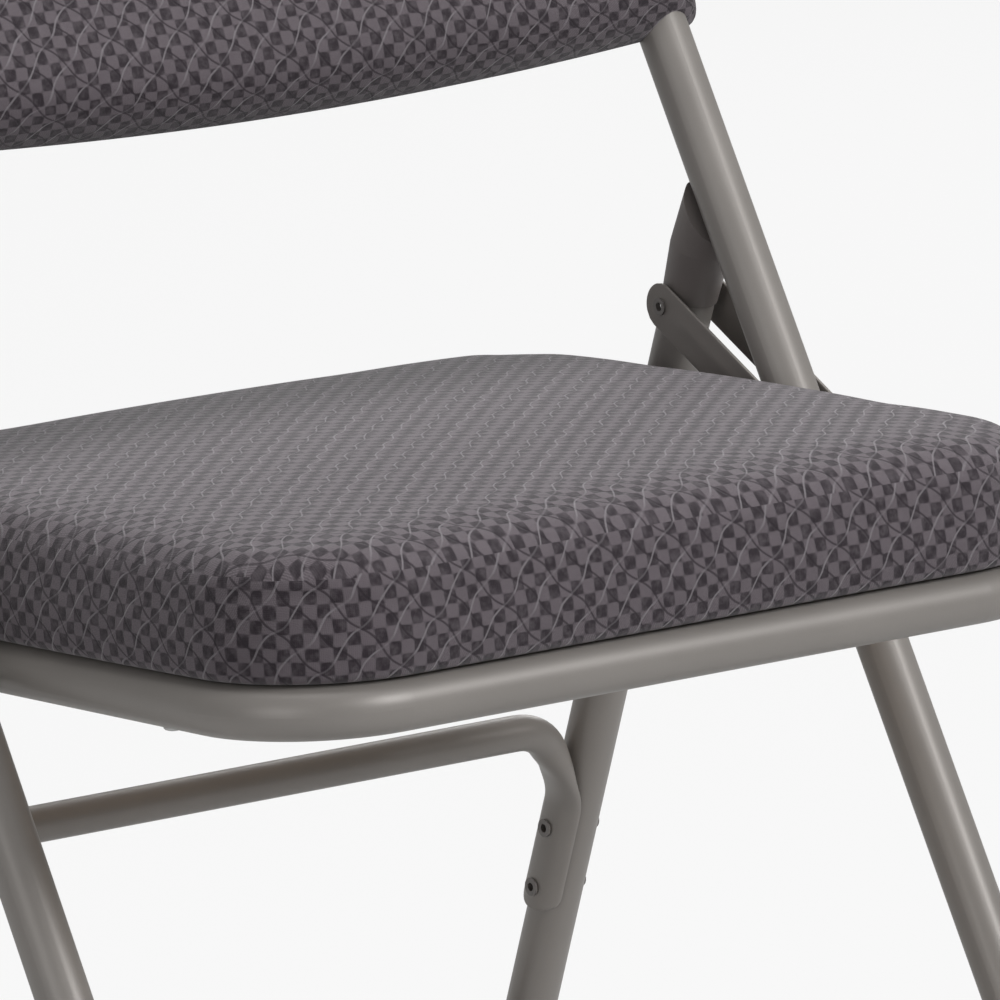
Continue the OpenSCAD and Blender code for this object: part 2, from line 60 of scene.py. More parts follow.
@dataclass(frozen=True)
class Axes:
    """A sub-assembly's own directions: x is the chair's, y points back, z up along the piece."""

    origin: np.ndarray
    back: np.ndarray
    up: np.ndarray

    @classmethod
    def through(cls, low: np.ndarray, high: np.ndarray) -> "Axes":
        """Axes whose z runs from low to high, both points in the chair's middle plane.

        Args:
            low: point that becomes the origin.
            high: point further up.

        Returns:
            The axes at low.
        """
        up = (high - low) / np.linalg.norm(high - low)
        return cls(low, np.array([0.0, up[2], -up[1]]), up)

    def moved(self, x: float = 0.0, y: float = 0.0, z: float = 0.0) -> "Axes":
        """The same directions from another origin, given in these axes.

        Args:
            x: origin along x.
            y: origin along back.
            z: origin along up.

        Returns:
            The moved axes.
        """
        return Axes(self.place(np.array([[x, y, z]]))[0], self.back, self.up)

    def place(self, local: np.ndarray) -> np.ndarray:
        """Chair points of local points: origin + x right + y back + z up.

        Args:
            local: points in these axes.

        Returns:
            The same points in the chair.
        """
        right = np.array([1.0, 0.0, 0.0])
        return self.origin + np.outer(local[:, 0], right) + np.outer(local[:, 1], self.back) \
            + np.outer(local[:, 2], self.up)

    def local(self, points: np.ndarray) -> np.ndarray:
        """Local points of chair points: their dot products with the three directions.

        Args:
            points: points in the chair.

        Returns:
            The same points in these axes.
        """
        off = points - self.origin
        return np.column_stack([off[:, 0], off @ self.back, off @ self.up])


def vertices_of(mesh: bpy.types.Mesh) -> np.ndarray:
    """All vertex positions of a mesh, as rows of x, y, z.

    Args:
        mesh: the mesh to read.

    Returns:
        One row for each vertex.
    """
    co = np.zeros(len(mesh.vertices) * 3)
    mesh.vertices.foreach_get("co", co)
    return co.reshape(-1, 3)


def extent(node: str, axes: Axes) -> tuple[np.ndarray, np.ndarray]:
    """Lowest and highest corner of a CAD node in a sub-assembly's own axes.

    Args:
        node: name of the CAD node.
        axes: the axes to measure in.

    Returns:
        The two corners.
    """
    local = axes.local(vertices_of(frame["nodes"][node].data))
    return local.min(axis=0), local.max(axis=0)


def joint_point(name: str) -> np.ndarray:
    """Place of a joint in the chair's middle plane.

    Args:
        name: name of the joint.

    Returns:
        The joint's place with x at 0.
    """
    place = next(np.array(j["pos_m"], float) for j in frame["joints"] if j["name"] == name)
    return place * np.array([0.0, 1.0, 1.0])


def middle(node: str) -> np.ndarray:
    """Middle of a CAD node's box, moved into the chair's middle plane.

    Args:
        node: name of the CAD node.

    Returns:
        The box's middle with x at 0.
    """
    low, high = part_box(node)
    return np.array([0.0, (low[1] + high[1]) / 2, (low[2] + high[2]) / 2])


@dataclass(frozen=True)
class Places:
    """Axes of the uprights, the rear legs and the seat, and the tubes' size and spacing."""

    upright: Axes
    leg: Axes
    seat: Axes
    half_width: float
    tube_r: float

    @classmethod
    def measured(cls) -> "Places":
        """Places read from the pivots and from the rear leg's box.

        Returns:
            The measured places.
        """
        seat_pivot = joint_point("seat_fold")
        rear_pivot = joint_point("rear_leg_fold")
        link_rear = middle("link_left_rear_rivets")
        low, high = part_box("rear_leg_right")
        along = (rear_pivot - seat_pivot) / np.linalg.norm(rear_pivot - seat_pivot)
        leg = Axes.through(rear_pivot, link_rear)
        return cls(Axes.through(seat_pivot, joint_point("link_left_fold")),
                   Axes(link_rear, leg.back, leg.up),
                   Axes(seat_pivot, along, np.array([0.0, -along[2], along[1]])),
                   (low[0] + high[0]) / 2, (high[0] - low[0]) / 2)


# ---- Materials ----

class Nodes:
    """Adds shader nodes to one tree and links them."""

    def __init__(self, tree: bpy.types.NodeTree) -> None:
        """Keeps the tree that the nodes go into.

        Args:
            tree: the node tree.
        """
        self.tree = tree

    def add(self, kind: str, settings: dict | None = None, **inputs: object) -> bpy.types.Node:
        """Adds a node.

        Args:
            kind: the node's type name.
            settings: attributes to set on it.
            inputs: values or output sockets by input name, with _ for a space.

        Returns:
            The new node.
        """
        node = self.tree.nodes.new(kind)
        for name, value in (settings or {}).items():
            setattr(node, name, value)
        for name, value in inputs.items():
            self.feed(node.inputs[name.replace("_", " ")], value)
        return node

    def feed(self, socket: bpy.types.NodeSocket, value: object) -> None:
        """Links an output to a socket, or sets the socket's own value.

        Args:
            socket: the socket to feed.
            value: an output socket or a plain value.
        """
        if isinstance(value, bpy.types.NodeSocket):
            self.tree.links.new(value, socket)
        else:
            socket.default_value = value

    def math(self, operation: str, *values: object, clamp: bool = False) -> bpy.types.NodeSocket:
        """Output of a Math node with that operation on one to three values.

        Args:
            operation: Blender's name of the operation.
            values: outputs or plain numbers.
            clamp: whether the result stays between 0 and 1.

        Returns:
            The node's output.
        """
        node = self.add("ShaderNodeMath", {"operation": operation, "use_clamp": clamp})
        for socket, value in zip(node.inputs, values):
            self.feed(socket, value)
        return node.outputs[0]

    def ramp(self, value: object, low: float, high: float) -> bpy.types.NodeSocket:
        """A smooth step: 0 below low and 1 above high.

        Args:
            value: output or number to step.
            low: where the step starts.
            high: where it ends.

        Returns:
            The stepped output.
        """
        node = self.add("ShaderNodeMapRange", {"interpolation_type": "SMOOTHSTEP"})
        for name, item in (("Value", value), ("From Min", low), ("From Max", high)):
            self.feed(node.inputs[name], item)
        return node.outputs[0]

    def mix(self, share: object, a: object, b: object, blend: str = "MIX") -> bpy.types.NodeSocket:
        """Colour a turned towards colour b by the share.

        Args:
            share: how far to turn.
            a: colour at share 0.
            b: colour at share 1.
            blend: Blender's name of the blending.

        Returns:
            The mixed colour.
        """
        node = self.add("ShaderNodeMix", {"data_type": "RGBA", "blend_type": blend})
        for index, value in ((0, share), (6, a), (7, b)):
            self.feed(node.inputs[index], value)
        return node.outputs[2]

    def noise(self, place: object, scale: float, detail: float = 2.0,
              stretch: Sequence[float] = (1.0, 1.0, 1.0)) -> bpy.types.NodeSocket:
        """Noise of a given scale per metre, drawn out along some directions.

        Args:
            place: coordinates to read.
            scale: grains to the metre.
            detail: finer layers.
            stretch: scale of each direction.

        Returns:
            The noise, from 0 to 1.
        """
        mapped = self.add("ShaderNodeMapping", Vector=place, Scale=tuple(stretch)).outputs[0]
        return self.add("ShaderNodeTexNoise", Vector=mapped, Scale=scale, Detail=detail).outputs["Fac"]


def new_group(name: str, inputs: dict[str, object], outputs: dict[str, str]) -> tuple:
    """Starts a shader node group.

    Args:
        name: the group's name.
        inputs: default value of each input: a number, a colour of four or a vector of three.
        outputs: socket type of each output, by name.

    Returns:
        The group, its node helper, its input node and its output node.
    """
    group = bpy.data.node_groups.new(name, "ShaderNodeTree")
    for label, value in inputs.items():
        kind = "Float"
        if isinstance(value, tuple):
            kind = "Color" if len(value) == 4 else "Vector"
        socket = group.interface.new_socket(label, in_out="INPUT", socket_type=f"NodeSocket{kind}")
        socket.default_value = value
    for label, kind in outputs.items():
        group.interface.new_socket(label, in_out="OUTPUT", socket_type=f"NodeSocket{kind}")
    nodes = Nodes(group)
    return group, nodes, nodes.add("NodeGroupInput"), nodes.add("NodeGroupOutput")


def grain_group() -> bpy.types.NodeTree:
    """Fine grain and slow unevenness of a sprayed or moulded surface.

    Returns:
        A group that gives a height, a slow shade from 0 to 1 and a roughness.
    """
    group, nodes, given, out = new_group(
        "surface_grain",
        {"Place": (0.0, 0.0, 0.0), "Grain": 1500.0, "Roughness": 0.4, "Spread": 0.06},
        {"Height": "Float", "Shade": "Float", "Roughness": "Float"})
    fine = nodes.add("ShaderNodeTexNoise", Vector=given.outputs["Place"], Scale=given.outputs["Grain"],
                     Detail=3.0).outputs["Fac"]
    slow = nodes.noise(given.outputs["Place"], 22.0, 4.0)
    patch = nodes.math("ADD", nodes.math("MULTIPLY", slow, 0.7), nodes.math("MULTIPLY", fine, 0.3))
    swing = nodes.math("MULTIPLY", nodes.math("SUBTRACT", patch, 0.5), given.outputs["Spread"])
    nodes.feed(out.inputs["Height"], fine)
    nodes.feed(out.inputs["Shade"], patch)
    nodes.feed(out.inputs["Roughness"], nodes.math("ADD", given.outputs["Roughness"], swing))
    return group


def jacquard_group() -> bpy.types.NodeTree:
    """A woven figure of small squares under a lattice of wavy threads.

    The squares are a chequer of four to the repeat. One set of threads is light and leans one
    way, the other is dark and leans the other way, and each thread sways twice to the repeat.
    Fine ribs run across the light squares, and small yarns cover everything.

    Returns:
        A group that gives a colour, a height and a roughness from flat cover coordinates.
    """
    group, nodes, given, out = new_group(
        "jacquard_weave",
        {"Cover": (0.0, 0.0, 0.0), "Repeat": 0.0165, "Light": (0.14, 0.12, 0.135, 1.0),
         "Dark": (0.04, 0.03, 0.038, 1.0), "Thread": (0.27, 0.25, 0.265, 1.0)},
        {"Color": "Color", "Height": "Float", "Roughness": "Float"})
    flat = nodes.add("ShaderNodeSeparateXYZ", Vector=given.outputs["Cover"])
    wobble = nodes.noise(given.outputs["Cover"], 70.0, 1.0)
    sway = nodes.math("MULTIPLY", nodes.math("SUBTRACT", wobble, 0.5), 0.14)
    u = nodes.math("ADD", nodes.math("DIVIDE", flat.outputs[0], given.outputs["Repeat"]), sway)
    v = nodes.math("SUBTRACT", nodes.math("DIVIDE", flat.outputs[1], given.outputs["Repeat"]), sway)

    def triangle(value: object) -> bpy.types.NodeSocket:
        """Distance of a value to its nearest whole number, from 0 to 0.5.

        Args:
            value: output or number.

        Returns:
            The distance.
        """
        return nodes.math("ABSOLUTE", nodes.math("SUBTRACT", value, nodes.math("ROUND", value)))

    def wave(value: object, turns: float) -> bpy.types.NodeSocket:
        """A sine wave of the value with that many turns to the repeat.

        Args:
            value: output or number.
            turns: waves to one repeat.

        Returns:
            The wave, from -1 to 1.
        """
        return nodes.math("SINE", nodes.math("MULTIPLY", value, 2 * math.pi * turns))

    square = nodes.math("MULTIPLY", wave(u, 1.5), wave(nodes.math("ADD", v, 0.06), 1.5))
    light_square = nodes.ramp(square, -0.2, 0.15)
    rising = nodes.math("SUBTRACT", u, v)
    falling = nodes.math("ADD", u, v)
    light_line = triangle(nodes.math("ADD", rising, nodes.math("MULTIPLY", wave(falling, 0.5), 0.09)))
    dark_line = triangle(nodes.math("ADD", falling, nodes.math("MULTIPLY", wave(rising, 0.5), 0.09)))
    stroke = nodes.ramp(wave(nodes.math("ADD", falling, 0.3), 0.5), -0.9, 0.1)
    light_thread = nodes.math("MULTIPLY", nodes.math("ADD", 0.35, nodes.math("MULTIPLY", stroke, 0.65)),
                              nodes.math("SUBTRACT", 1.0, nodes.ramp(light_line, 0.015, 0.05)))
    dark_thread = nodes.math("SUBTRACT", 1.0, nodes.ramp(dark_line, 0.02, 0.06))
    ribs = nodes.ramp(wave(nodes.math("ADD", u, nodes.math("MULTIPLY", v, 0.6)), 20.0), -0.8, 0.8)
    yarn = nodes.math("ADD", nodes.math("MULTIPLY", wave(v, 26.0), 0.25),
                      nodes.math("MULTIPLY", wave(u, 22.0), 0.25))
    fuzz = nodes.noise(given.outputs["Cover"], 1500.0, 2.0)
    patch = nodes.noise(given.outputs["Cover"], 260.0, 2.0)

    tone = nodes.mix(nodes.math("MULTIPLY", ribs, 0.45), given.outputs["Light"], given.outputs["Dark"])
    ground = nodes.mix(light_square, given.outputs["Dark"], tone)
    ground = nodes.mix(nodes.math("MULTIPLY", nodes.ramp(patch, 0.35, 0.7), 0.35), ground,
                       given.outputs["Light"])
    ground = nodes.mix(nodes.math("MULTIPLY", dark_thread, 0.75), ground, given.outputs["Dark"])
    ground = nodes.mix(nodes.math("MULTIPLY", light_thread, 0.8), ground, given.outputs["Thread"])
    speck = nodes.math("ADD", 0.62, nodes.math("MULTIPLY", fuzz, 0.76))
    grey = nodes.add("ShaderNodeCombineColor", Red=speck, Green=speck, Blue=speck).outputs[0]
    nodes.feed(out.inputs["Color"], nodes.mix(1.0, ground, grey, "MULTIPLY"))

    raised = nodes.math("ADD", nodes.math("MULTIPLY", light_square, 0.45),
                        nodes.math("MULTIPLY", light_thread, 0.75))
    raised = nodes.math("SUBTRACT", raised, nodes.math("MULTIPLY", dark_thread, 0.35))
    raised = nodes.math("ADD", raised, nodes.math("MULTIPLY", yarn, 0.22))
    raised = nodes.math("ADD", raised, nodes.math("MULTIPLY", fuzz, 0.5))
    nodes.feed(out.inputs["Height"], raised)
    sheen = nodes.math("MULTIPLY", light_thread, 0.2)
    nodes.feed(out.inputs["Roughness"], nodes.math("SUBTRACT", 0.92, sheen))
    return group


def start_material(name: str) -> tuple[bpy.types.Material, Nodes, bpy.types.Node]:
    """A new material with a Principled shader.

    Args:
        name: the material's name.

    Returns:
        The material, its node helper and its shader.
    """
    material = bpy.data.materials.new(name)
    material.use_nodes = True
    nodes = Nodes(material.node_tree)
    return material, nodes, material.node_tree.nodes["Principled BSDF"]


@dataclass(frozen=True)
class Coat:
    """A sprayed, moulded or plated surface in one colour, with grain and slow unevenness."""

    name: str
    colour: tuple[float, float, float]
    roughness: float = 0.4
    metallic: float = 0.0
    grain: float = 1500.0
    depth: float = 0.00004
    spread: float = 0.08
    unevenness: float = 0.12

    def build(self, grain: bpy.types.NodeTree) -> bpy.types.Material:
        """Builds the material.

        Args:
            grain: the shared grain group.

        Returns:
            The material.
        """
        material, nodes, shader = start_material(self.name)
        place = nodes.add("ShaderNodeTexCoord").outputs["Object"]
        effect = nodes.add("ShaderNodeGroup", {"node_tree": grain}, Place=place, Grain=self.grain,
                           Roughness=self.roughness, Spread=self.spread)
        dark = tuple(c * (1 - self.unevenness) for c in self.colour) + (1.0,)
        light = tuple(c * (1 + self.unevenness) for c in self.colour) + (1.0,)
        nodes.feed(shader.inputs["Base Color"], nodes.mix(effect.outputs["Shade"], dark, light))
        nodes.feed(shader.inputs["Roughness"], effect.outputs["Roughness"])
        nodes.feed(shader.inputs["Metallic"], self.metallic)
        bump = nodes.add("ShaderNodeBump", Height=effect.outputs["Height"], Distance=self.depth, Strength=0.5)
        nodes.feed(shader.inputs["Normal"], bump.outputs[0])
        return material


@dataclass(frozen=True)
class Jacquard:
    """The woven cover of the seat and the backrest."""

    name: str
    repeat: float = 16.5 * MM
    light: tuple[float, float, float] = (0.135, 0.115, 0.128)
    dark: tuple[float, float, float] = (0.022, 0.016, 0.021)
    thread: tuple[float, float, float] = (0.190, 0.172, 0.186)
    relief: float = 0.35 * MM
    sheen: float = 0.25

    def build(self, weave: bpy.types.NodeTree) -> bpy.types.Material:
        """Builds the material, which reads the flat cover coordinates of its piece.

        Args:
            weave: the shared weave group.

        Returns:
            The material.
        """
        material, nodes, shader = start_material(self.name)
        cover = nodes.add("ShaderNodeUVMap", {"uv_map": "cover"}).outputs[0]
        effect = nodes.add("ShaderNodeGroup", {"node_tree": weave}, Cover=cover, Repeat=self.repeat,
                           Light=self.light + (1.0,), Dark=self.dark + (1.0,), Thread=self.thread + (1.0,))
        nodes.feed(shader.inputs["Base Color"], effect.outputs["Color"])
        nodes.feed(shader.inputs["Roughness"], effect.outputs["Roughness"])
        shader.inputs["Sheen Weight"].default_value = self.sheen
        shader.inputs["Sheen Roughness"].default_value = 0.5
        shader.inputs["Specular IOR Level"].default_value = 0.25
        bump = nodes.add("ShaderNodeBump", Height=effect.outputs["Height"], Distance=self.relief,
                         Strength=0.8)
        nodes.feed(shader.inputs["Normal"], bump.outputs[0])
        return material


@dataclass(frozen=True)
class Plywood:
    """Bare plywood with a drawn-out grain along the chair's x."""

    name: str
    light: tuple[float, float, float] = (0.52, 0.36, 0.20)
    dark: tuple[float, float, float] = (0.33, 0.20, 0.10)

    def build(self) -> bpy.types.Material:
        """Builds the material.

        Returns:
            The material.
        """
        material, nodes, shader = start_material(self.name)
        place = nodes.add("ShaderNodeTexCoord").outputs["Object"]
        streak = nodes.noise(place, 90.0, 5.0, (0.06, 1.0, 1.0))
        nodes.feed(shader.inputs["Base Color"],
                   nodes.mix(nodes.ramp(streak, 0.3, 0.7), self.dark + (1.0,), self.light + (1.0,)))
        shader.inputs["Roughness"].default_value = 0.7
        bump = nodes.add("ShaderNodeBump", Height=streak, Distance=0.0002, Strength=0.4)
        nodes.feed(shader.inputs["Normal"], bump.outputs[0])
        return material


class Slot(Enum):
    """The record's material slots."""

    FRAME = "frame_paint"
    LINK = "link_paint"
    RIVET = "rivet_paint"
    CAP = "cap_plastic"
    FOOT = "foot_rubber"
    FABRIC = "fabric"
    PLYWOOD = "plywood"
    ZINC = "zinc"


class Finishes:
    """One material for each of the record's slots."""

    def __init__(self) -> None:
        """Builds the shared groups and every material."""
        grain = grain_group()
        self.cover = Jacquard("woven_cover").build(jacquard_group())
        self.by_slot = {
            Slot.FRAME: Coat("satin_paint", (0.250, 0.232, 0.216), 0.42, 0.15).build(grain),
            Slot.LINK: Coat("link_paint", (0.200, 0.182, 0.168), 0.5, 0.1).build(grain),
            Slot.RIVET: Coat("rivet_paint", (0.16, 0.147, 0.139), 0.4, 0.2).build(grain),
            Slot.CAP: Coat("moulded_plastic", (0.168, 0.150, 0.142), 0.5, 0.0, 2600.0, 0.00008).build(grain),
            Slot.FOOT: Coat("foot_rubber", (0.028, 0.028, 0.030), 0.7, 0.0, 1800.0, 0.0001).build(grain),
            Slot.FABRIC: self.cover,
            Slot.PLYWOOD: Plywood("plywood").build(),
            Slot.ZINC: Coat("zinc_plate", (0.50, 0.50, 0.49), 0.38, 0.9).build(grain),
        }

    def dress(self, piece: bpy.types.Object, slot: Slot) -> None:
        """Gives a piece the slot's material as its only one.

        Args:
            piece: the piece.
            slot: its material slot.
        """
        piece.data.materials.clear()
        piece.data.materials.append(self.by_slot[slot])

    def dress_node(self, node: str) -> None:
        """Gives a CAD node the better material of the slot that the record names for it.

        Args:
            node: name of the CAD node.
        """
        slot = next(part["material_slot"] for part in frame["record"]["subparts"]
                    if part["node"] == node)
        piece = frame["nodes"][node]
        for index in range(max(1, len(piece.material_slots))):
            if index >= len(piece.material_slots):
                piece.data.materials.append(None)
            piece.material_slots[index].material = self.by_slot[Slot(slot)]


# ---- Surfaces ----

@dataclass
class Surface:
    """A mesh as arrays: vertices, and faces of four or three corners."""

    points: np.ndarray
    faces: list[np.ndarray] = field(default_factory=list)

    def build(self, name: str, smooth: bool = True) -> bpy.types.Object:
        """Makes the Blender object.

        Args:
            name: the object's name.
            smooth: whether its faces are shaded smooth.

        Returns:
            The object, linked to the scene.
        """
        mesh = bpy.data.meshes.new(name)
        mesh.from_pydata(self.points.tolist(), [], [f for part in self.faces for f in part.tolist()])
        mesh.polygons.foreach_set("use_smooth", np.full(len(mesh.polygons), smooth))
        mesh.update()
        piece = bpy.data.objects.new(name, mesh)
        bpy.context.scene.collection.objects.link(piece)
        return piece


def arc(centre: tuple[float, float], radius: float, start: float, end: float, steps: int) -> np.ndarray:
    """Points along an arc: centre + radius times (cosine, sine) of an angle that runs evenly.

    Args:
        centre: the arc's centre.
        radius: the arc's radius.
        start: first angle, in degrees.
        end: last angle, in degrees.
        steps: number of points.

    Returns:
        One row for each point.
    """
    angle = np.radians(np.linspace(start, end, steps))
    return np.column_stack([centre[0] + radius * np.cos(angle), centre[1] + radius * np.sin(angle)])


def spaced(points: np.ndarray, count: int) -> np.ndarray:
    """Count + 1 points at even steps along a polyline.

    Args:
        points: the polyline.
        count: number of steps.

    Returns:
        The evenly spaced points.
    """
    length = np.concatenate([[0.0], np.cumsum(np.linalg.norm(np.diff(points, axis=0), axis=1))])
    at = np.linspace(0.0, length[-1], count + 1)
    return np.column_stack([np.interp(at, length, points[:, k]) for k in range(points.shape[1])])


@dataclass(frozen=True)
class Rim:
    """A closed outline of 4 n points with outward normals. It starts at its lower left corner."""

    points: np.ndarray
    normals: np.ndarray
    n: int

    @classmethod
    def of_sides(cls, sides: Sequence[np.ndarray], n: int) -> "Rim":
        """An outline from four sides that run anticlockwise from corner middle to corner middle.

        Args:
            sides: polylines of the lower, right, upper and left side.
            n: steps along each side.

        Returns:
            The outline. A normal is the step between a point's neighbours, turned right.
        """
        points = np.vstack([spaced(side, n)[:-1] for side in sides])
        step = np.roll(points, -1, axis=0) - np.roll(points, 1, axis=0)
        step /= np.linalg.norm(step, axis=1)[:, None]
        return cls(points, np.column_stack([step[:, 1], -step[:, 0]]), n)

    @classmethod
    def rounded(cls, low: Sequence[float], high: Sequence[float], radii: Sequence[float], n: int,
                sag: float = 0.0, bow: float = 0.0) -> "Rim":
        """A rectangle with round corners, whose lower side may hang and whose other sides may bow.

        Args:
            low: lower left corner.
            high: upper right corner.
            radii: radius of the lower and of the upper corners.
            n: steps along each side.
            sag: how far the lower side's middle hangs below its ends, inside the rectangle.
            bow: how far the left, right and upper sides stand out in the middle, inside the rectangle.

        Returns:
            The outline.
        """
        (x0, y0), (x1, y1), (ra, rb) = low, high, radii
        x0, x1, y1, y0 = x0 + bow, x1 - bow, y1 - bow, y0 + sag
        t = np.linspace(0.0, 1.0, 41)[1:-1]
        hump = 4 * t * (1 - t)

        def side(a: Sequence[float], b: Sequence[float], out: Sequence[float], by: float) -> np.ndarray:
            """A line from a to b that stands out by a parabola.

            Args:
                a: first end.
                b: second end.
                out: direction in which the line stands out.
                by: how far its middle stands out.

            Returns:
                Points along the line.
            """
            return np.outer(1 - t, a) + np.outer(t, b) + np.outer(hump * by, out)

        corners = [(x0 + ra, y0 + ra, ra, 180), (x1 - ra, y0 + ra, ra, 270),
                   (x1 - rb, y1 - rb, rb, 0), (x0 + rb, y1 - rb, rb, 90)]
        lines = [side((x0 + ra, y0), (x1 - ra, y0), (0, -1), sag),
                 side((x1, y0 + ra), (x1, y1 - rb), (1, 0), bow),
                 side((x1 - rb, y1), (x0 + rb, y1), (0, 1), bow),
                 side((x0, y1 - rb), (x0, y0 + ra), (-1, 0), bow)]
        sides = []
        for k in range(4):
            cx, cy, r, start = corners[k]
            nx, ny, nr, nstart = corners[(k + 1) % 4]
            sides.append(np.vstack([arc((cx, cy), r, start + 45, start + 90, 12), lines[k],
                                    arc((nx, ny), nr, nstart, nstart + 45, 12)]))
        return cls.of_sides(sides, n)

    def inset(self, by: float) -> np.ndarray:
        """The outline moved inwards along its normals.

        Args:
            by: how far inwards.

        Returns:
            The moved points.
        """
        return self.points - self.normals * by


def sheet_grid(rim: Rim, edge: np.ndarray) -> np.ndarray:
    """A square grid of (n + 1) by (n + 1) points that fills an outline.

    A grid point lies on a square ring of size s from 0 to 1, and goes s of the way from the
    outline's middle to the outline point at the same share of that ring.

    Args:
        rim: the outline, for its number of steps.
        edge: the outline's own points, which the outer ring meets.

    Returns:
        The points, row by row.
    """
    n = rim.n
    b, a = np.meshgrid(np.linspace(-1, 1, n + 1), np.linspace(-1, 1, n + 1), indexing="ij")
    ring = np.maximum(np.abs(a), np.abs(b))
    safe = np.where(ring > 0, ring, 1.0)
    p, q = a / safe, b / safe
    lower, right = (b <= -ring + 1e-12), (a >= ring - 1e-12)
    upper = b >= ring - 1e-12
    at = np.where(lower, n * (p + 1) / 2,
                  np.where(right, n + n * (q + 1) / 2,
                           np.where(upper, 2 * n + n * (1 - p) / 2, 3 * n + n * (1 - q) / 2)))
    closed = np.vstack([edge, edge[:1]])
    target = np.stack([np.interp(at, np.arange(4 * n + 1), closed[:, k]) for k in range(2)], axis=-1)
    centre = (edge.min(axis=0) + edge.max(axis=0)) / 2
    return (centre + (target - centre) * ring[..., None]).reshape(-1, 2)


def ring_index(n: int) -> np.ndarray:
    """Where the 4 n points of the outer ring stand in a square grid, anticlockwise.

    Args:
        n: steps along one side of the grid.

    Returns:
        Index of each ring point in the grid.
    """
    k = np.arange(n)
    return np.concatenate([k, k * (n + 1) + n, n * (n + 1) + n - k, (n - k) * (n + 1)])


def slab(rim: Rim, profile: np.ndarray, ring_at: Callable[[float], np.ndarray] | None = None) -> Surface:
    """A closed slab: a grid on top, a profile carried round the outline, and a grid below.

    Args:
        rim: the outline.
        profile: rows of (inset, height) from the top sheet's edge, over the side, to the lower sheet's.
        ring_at: the outline's points at an inset, where they aren't simply moved along the normals.

    Returns:
        The surface, with its height along local z and its faces outwards.
    """
    n, size = rim.n, (rim.n + 1) ** 2
    ring_at = ring_at or rim.inset
    top = sheet_grid(rim, ring_at(profile[0, 0]))
    low = sheet_grid(rim, ring_at(profile[-1, 0]))
    bands = [np.column_stack([ring_at(inset), np.full(4 * n, height)]) for inset, height in profile[1:-1]]
    points = np.vstack([np.column_stack([top, np.full(size, profile[0, 1])]), *bands,
                        np.column_stack([low, np.full(size, profile[-1, 1])])])
    quad = (np.arange(n)[:, None] * (n + 1) + np.arange(n)).reshape(-1)
    top_faces = np.column_stack([quad, quad + 1, quad + n + 2, quad + n + 1])
    base = size + len(bands) * 4 * n
    rings = [ring_index(n)] + [size + k * 4 * n + np.arange(4 * n) for k in range(len(bands))]
    rings.append(base + ring_index(n))
    walls = [np.column_stack([a, b, np.roll(b, -1), np.roll(a, -1)]) for a, b in zip(rings, rings[1:])]
    return Surface(points, [top_faces, *walls, (top_faces + base)[:, ::-1]])


def tube_surface(rings: np.ndarray) -> Surface:
    """A closed surface over a stack of rings, with each end drawn to its ring's middle.

    Args:
        rings: array of rings, points and coordinates, each ring anticlockwise seen from the last one.

    Returns:
        The surface.
    """
    count, around = rings.shape[:2]
    points = np.vstack([rings.reshape(-1, 3), rings[0].mean(axis=0), rings[-1].mean(axis=0)])
    grid = np.arange(count * around).reshape(count, around)
    a, b = grid[:-1], grid[1:]
    quads = np.stack([a, np.roll(a, -1, axis=1), np.roll(b, -1, axis=1), b], axis=-1).reshape(-1, 4)
    first = np.column_stack([np.full(around, len(points) - 2), np.roll(grid[0], -1), grid[0]])
    last = np.column_stack([np.full(around, len(points) - 1), grid[-1], np.roll(grid[-1], -1)])
    return Surface(points, [quads, first, last])


def bore(piece: bpy.types.Object, centres: Sequence[np.ndarray], axis: Vector, radius: float,
         length: float) -> None:
    """Cuts round holes through a piece.

    Args:
        piece: the piece to cut.
        centres: the holes' middles, in chair places.
        axis: the holes' direction.
        radius: the holes' radius.
        length: the length of the cut, centred on each middle.
    """
    around = 32
    angle = np.linspace(0, 2 * math.pi, around, endpoint=False)
    ring = np.column_stack([np.zeros(around), np.cos(angle) * radius, np.sin(angle) * radius])
    turn = np.array(Vector((1, 0, 0)).rotation_difference(axis).to_matrix())
    for centre in centres:
        ends = np.stack([ring + [-length / 2, 0, 0], ring + [length / 2, 0, 0]]) @ turn.T + centre
        cutter = tube_surface(ends).build("hole_cutter")
        cut = piece.modifiers.new("hole", "BOOLEAN")
        cut.operation = "DIFFERENCE"
        cut.solver = "EXACT"
        cut.object = cutter
        settle(piece)
        bpy.data.objects.remove(cutter)


def settle(piece: bpy.types.Object) -> None:
    """Applies all modifiers of a piece to its mesh.

    Args:
        piece: the piece.
    """
    bpy.context.view_layer.update()
    graph = bpy.context.evaluated_depsgraph_get()
    mesh = bpy.data.meshes.new_from_object(piece.evaluated_get(graph))
    piece.modifiers.clear()
    piece.data = mesh


def round_off(piece: bpy.types.Object, angle: float = 35.0) -> None:
    """Shades a piece smooth except across edges sharper than an angle in degrees.

    Args:
        piece: the piece.
        angle: the sharpest edge that is still smoothed.
    """
    piece.data.polygons.foreach_set("use_smooth", np.full(len(piece.data.polygons), True))
    piece.data.set_sharp_from_angle(angle=math.radians(angle))


def smooth_step(x: np.ndarray, low: float, high: float) -> np.ndarray:
    """0 below low, 1 above high, and 3 t squared - 2 t cubed between them.

    Args:
        x: the values.
        low: where the step starts.
        high: where it ends.

    Returns:
        The stepped values.
    """
    t = np.clip((x - low) / (high - low), 0.0, 1.0)
    return t * t * (3 - 2 * t)


# ---- Padding ----

